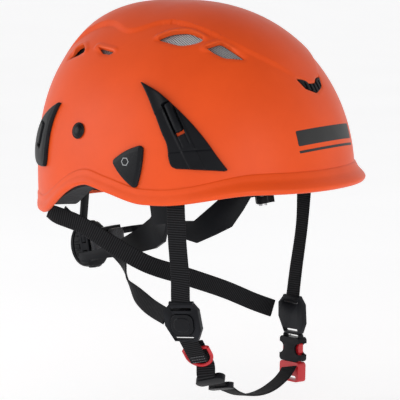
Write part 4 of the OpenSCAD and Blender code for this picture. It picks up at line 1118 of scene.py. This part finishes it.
# It comes down behind the stitched end and the ring, through slider and keeper, to the plug
chin = [at(RING, -6, -6.2), at(RING, 6, -6.2), at(RING, 14, -6.2), at(RING, 19, -5.3), at(SLIDER, -6.5), at(SLIDER, -3), at(SLIDER, 3.5), at(KEEPER, -4), at(KEEPER, 4), (61, -22, -184),
        (61.5, -8, -189.6), (61.5, 12, -193.3), (61, 32, -193), (59.5, 52, -189.5), (58, 64, -185.5), (57.3, 70, -182)]
chin_face = [RING[2], RING[2], RING[2], RING[2], SLIDER[2], SLIDER[2], SLIDER[2], KEEPER[2], KEEPER[2], (0.1, -0.3, -1), (0.1, -0.1, -1), (0.1, 0.1, -1),
             (0.1, 0.25, -1), (0.15, 0.4, -1), (0.2, 0.5, -0.9), (0.2, 0.6, -0.8)]
webbing("chin_strap_woven", chin, chin_face, WEB_W, WEB_T, None, ("chin_strap_near", "chin_strap_far"),
        blend=("helmet", "plug", (0.0605, -0.030, -0.180), (0.0585, 0.060, -0.187)))
tongue_route = [at(RING, -14), at(RING, -8), at(RING, 2), at(RING, 10)]
webbing("strap_tongue_woven", tongue_route, [RING[2]] * 4, WEB_W - 1, WEB_T + 0.8, "helmet", "strap_tongue",
        stitch=(18.0, 20.5, 23.0))

# ---------------------------------------------------------------- moulded parts that keep the CAD's shape
for left in (False, True):
    s = "left" if left else "right"
    soften("temple_link_" + s, M_BLACK, "cradle", 0.7)
    soften("arm_" + s, M_BLACK, "arm_%s_body" % s, 0.15, 2)
    soften("divider_" + s, M_BLACK, "helmet", 0.8)
    soften("divider_flap_" + s, M_GLOSS, "flap_" + s, 0.9, 4)
soften("nape_housing", M_BLACK, "nape_unit", 0.6)
soften("cover_plate", M_BLACK, "nape_unit", 0.9)
soften("size_knob", M_BLACK, "wheel", 0.6)
soften("strap_slider", M_BLACK, "helmet", 0.5)
soften("strap_keeper", M_BLACK, "helmet", 0.5)
soften("buckle_socket", M_BLACK, "helmet", 0.8)
soften("buckle_plug", M_RED, "plug", 0.9)
soften("buckle_prong_front", M_RED, "prong_front", 0.5)
soften("buckle_prong_rear", M_RED, "prong_rear", 0.5)
soften("headband", M_BLACK, "helmet", 0.4, 2)

# ---------------------------------------------------------------- CAD solids that stay, with finished surfaces
KEPT = {"adjuster_ring": M_RED, "visor_socket_right": M_BLACK, "visor_socket_left": M_BLACK, "pinion": M_RED,
        "tilt_pin_right": M_STEEL, "tilt_pin_left": M_STEEL, "arm_pin_right": M_STEEL, "arm_pin_left": M_STEEL,
        "knob_axle": M_STEEL}
for name, mat in KEPT.items():
    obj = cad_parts[name]
    if not obj.material_slots:
        obj.data.materials.append(mat)
    for sl in obj.material_slots:
        sl.material = mat


# ---------------------------------------------------------------- pads
def pad_from(name, nodes, body, cap, shrink=0.6, voxel=0.0045):
    """A cushion blown up from its CAD solid by cloth simulation, held to its backing."""
    parts = [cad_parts[n].data for n in nodes]
    bm = bmesh.new()
    for data in parts:
        bm.from_mesh(data)
    bmesh.ops.remove_doubles(bm, verts=bm.verts, dist=2e-6)
    mesh = bpy.data.meshes.new(name)
    bm.to_mesh(mesh)
    bm.free()
    obj = bpy.data.objects.new(name, mesh)
    scene.collection.objects.link(obj)
    mod = obj.modifiers.new("remesh", "REMESH")
    mod.mode = "VOXEL"
    mod.voxel_size = voxel
    apply_modifiers(obj)
    count = len(obj.data.vertices)
    start = np.zeros(count * 3)
    obj.data.vertices.foreach_get("co", start)
    start = start.reshape(-1, 3)
    cloth = obj.modifiers.new("cloth", "CLOTH")
    cloth.settings.use_pressure = True
    cloth.settings.uniform_pressure_force = 4.0
    cloth.settings.effector_weights.gravity = 0
    cloth.settings.quality = 5
    cloth.point_cache.frame_start = 1
    cloth.point_cache.frame_end = 20
    for i in range(1, 21):
        scene.frame_set(i)
    apply_modifiers(obj)
    scene.frame_set(1)
    end = np.zeros(len(obj.data.vertices) * 3)
    obj.data.vertices.foreach_get("co", end)
    end = end.reshape(-1, 3)
    if len(end) == count:
        move = end - start
        far = np.linalg.norm(move, axis=1, keepdims=True)
        end = start + move * np.minimum(1, cap * MM / (far + 1e-12))
        obj.data.vertices.foreach_set("co", end.reshape(-1))
    sub = obj.modifiers.new("round", "SUBSURF")
    sub.levels = sub.render_levels = 1
    apply_modifiers(obj)
    obj.data.materials.clear()
    obj.data.materials.append(M_PAD)
    obj.data.polygons.foreach_set("use_smooth", [True] * len(obj.data.polygons))
    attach(obj, body)
    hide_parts(*nodes)
    return obj


pad_from("brow_cushion", ["brow_pad"], "helmet", 1.2, voxel=0.0025)
pad_from("crown_cushion", ["crown_pad"], "helmet", 1.5, voxel=0.003)
pad_from("nape_cushion_right", ["nape_pad_right"], "nape_unit", 0.8, voxel=0.0022)
pad_from("nape_cushion_left", ["nape_pad_left"], "nape_unit", 0.8, voxel=0.0022)

# ---------------------------------------------------------------- plain marks on the front, in place of lettering
FRONT = Plane(0, 29)
for name, pts, in (("front_bar", box_pts(-38, 38, -6, 6, 1.2)), ("front_line", box_pts(-38, 38, -11.5, -9, 0.6))):
    skin_solid(name, FRONT, pts, 0.02, lambda x, y, d: 0.16 + 0 * x, M_MARK, "helmet", (), False,
               cell=1.0, edge=0.05)

# ---------------------------------------------------------------- floor and light
# The floor lies low enough for the released buckle to hang clear of it
floor_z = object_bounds()[0].z - 0.024


def plain(name, low, high, rough):
    m, nt, b = new_material(name)
    n1 = node(nt, "ShaderNodeTexNoise", Scale=3.0, Detail=3.0)
    nt.links.new(object_coords(nt), n1.inputs["Vector"])
    col = ramp(nt, n1.outputs[0], [(0.3, low), (0.7, high)])
    nt.links.new(col.outputs[0], b.inputs["Base Color"])
    b.inputs["Roughness"].default_value = rough
    return m


bm = bmesh.new()
bmesh.ops.create_grid(bm, x_segments=8, y_segments=8, size=40.0)
floor_mesh = bpy.data.meshes.new("floor")
bm.to_mesh(floor_mesh)
bm.free()
floor = bpy.data.objects.new("floor", floor_mesh)
floor.location = (0, 0, floor_z)
floor_mesh.materials.append(plain("floor_white", (0.86, 0.86, 0.86), (0.9, 0.9, 0.9), 0.8))
lit = floor_mesh.materials[0].node_tree.nodes["Principled BSDF"]
lit.inputs["Emission Color"].default_value = (1, 1, 1, 1)
lit.inputs["Emission Strength"].default_value = 0.46
scene.collection.objects.link(floor)

# A white studio, dimmer overhead than round the sides
world = bpy.data.worlds.new("studio")
world.use_nodes = True
nt = world.node_tree
coord = nt.nodes.new("ShaderNodeTexCoord")
split = nt.nodes.new("ShaderNodeSeparateXYZ")
nt.links.new(coord.outputs["Generated"], split.inputs[0])
sky = ramp(nt, split.outputs[2], [(0.25, (0.98, 0.98, 0.98)), (0.95, (0.24, 0.24, 0.25))])
nt.links.new(sky.outputs[0], nt.nodes["Background"].inputs[0])
nt.nodes["Background"].inputs[1].default_value = 0.97
scene.world = world


def area_light(name, where, size, power, look=(0, 0, -0.02)):
    data = bpy.data.lights.new(name, "AREA")
    data.shape = "DISK"
    data.size = size
    data.energy = power
    obj = bpy.data.objects.new(name, data)
    scene.collection.objects.link(obj)
    obj.location = where
    obj.rotation_euler = (Vector(look) - Vector(where)).to_track_quat("-Z", "Y").to_euler()
    return obj


side_dir = cam_right
back_dir = Vector((cam_back.x, cam_back.y, 0)).normalized()
area_light("key", back_dir * 0.25 - side_dir * 1.35 + Vector((0, 0, 0.30)), 1.0, 5)
area_light("fill", back_dir * 1.4 + side_dir * 0.5 + Vector((0, 0, 0.10)), 1.2, 5)
scene.view_settings.view_transform = "Standard"
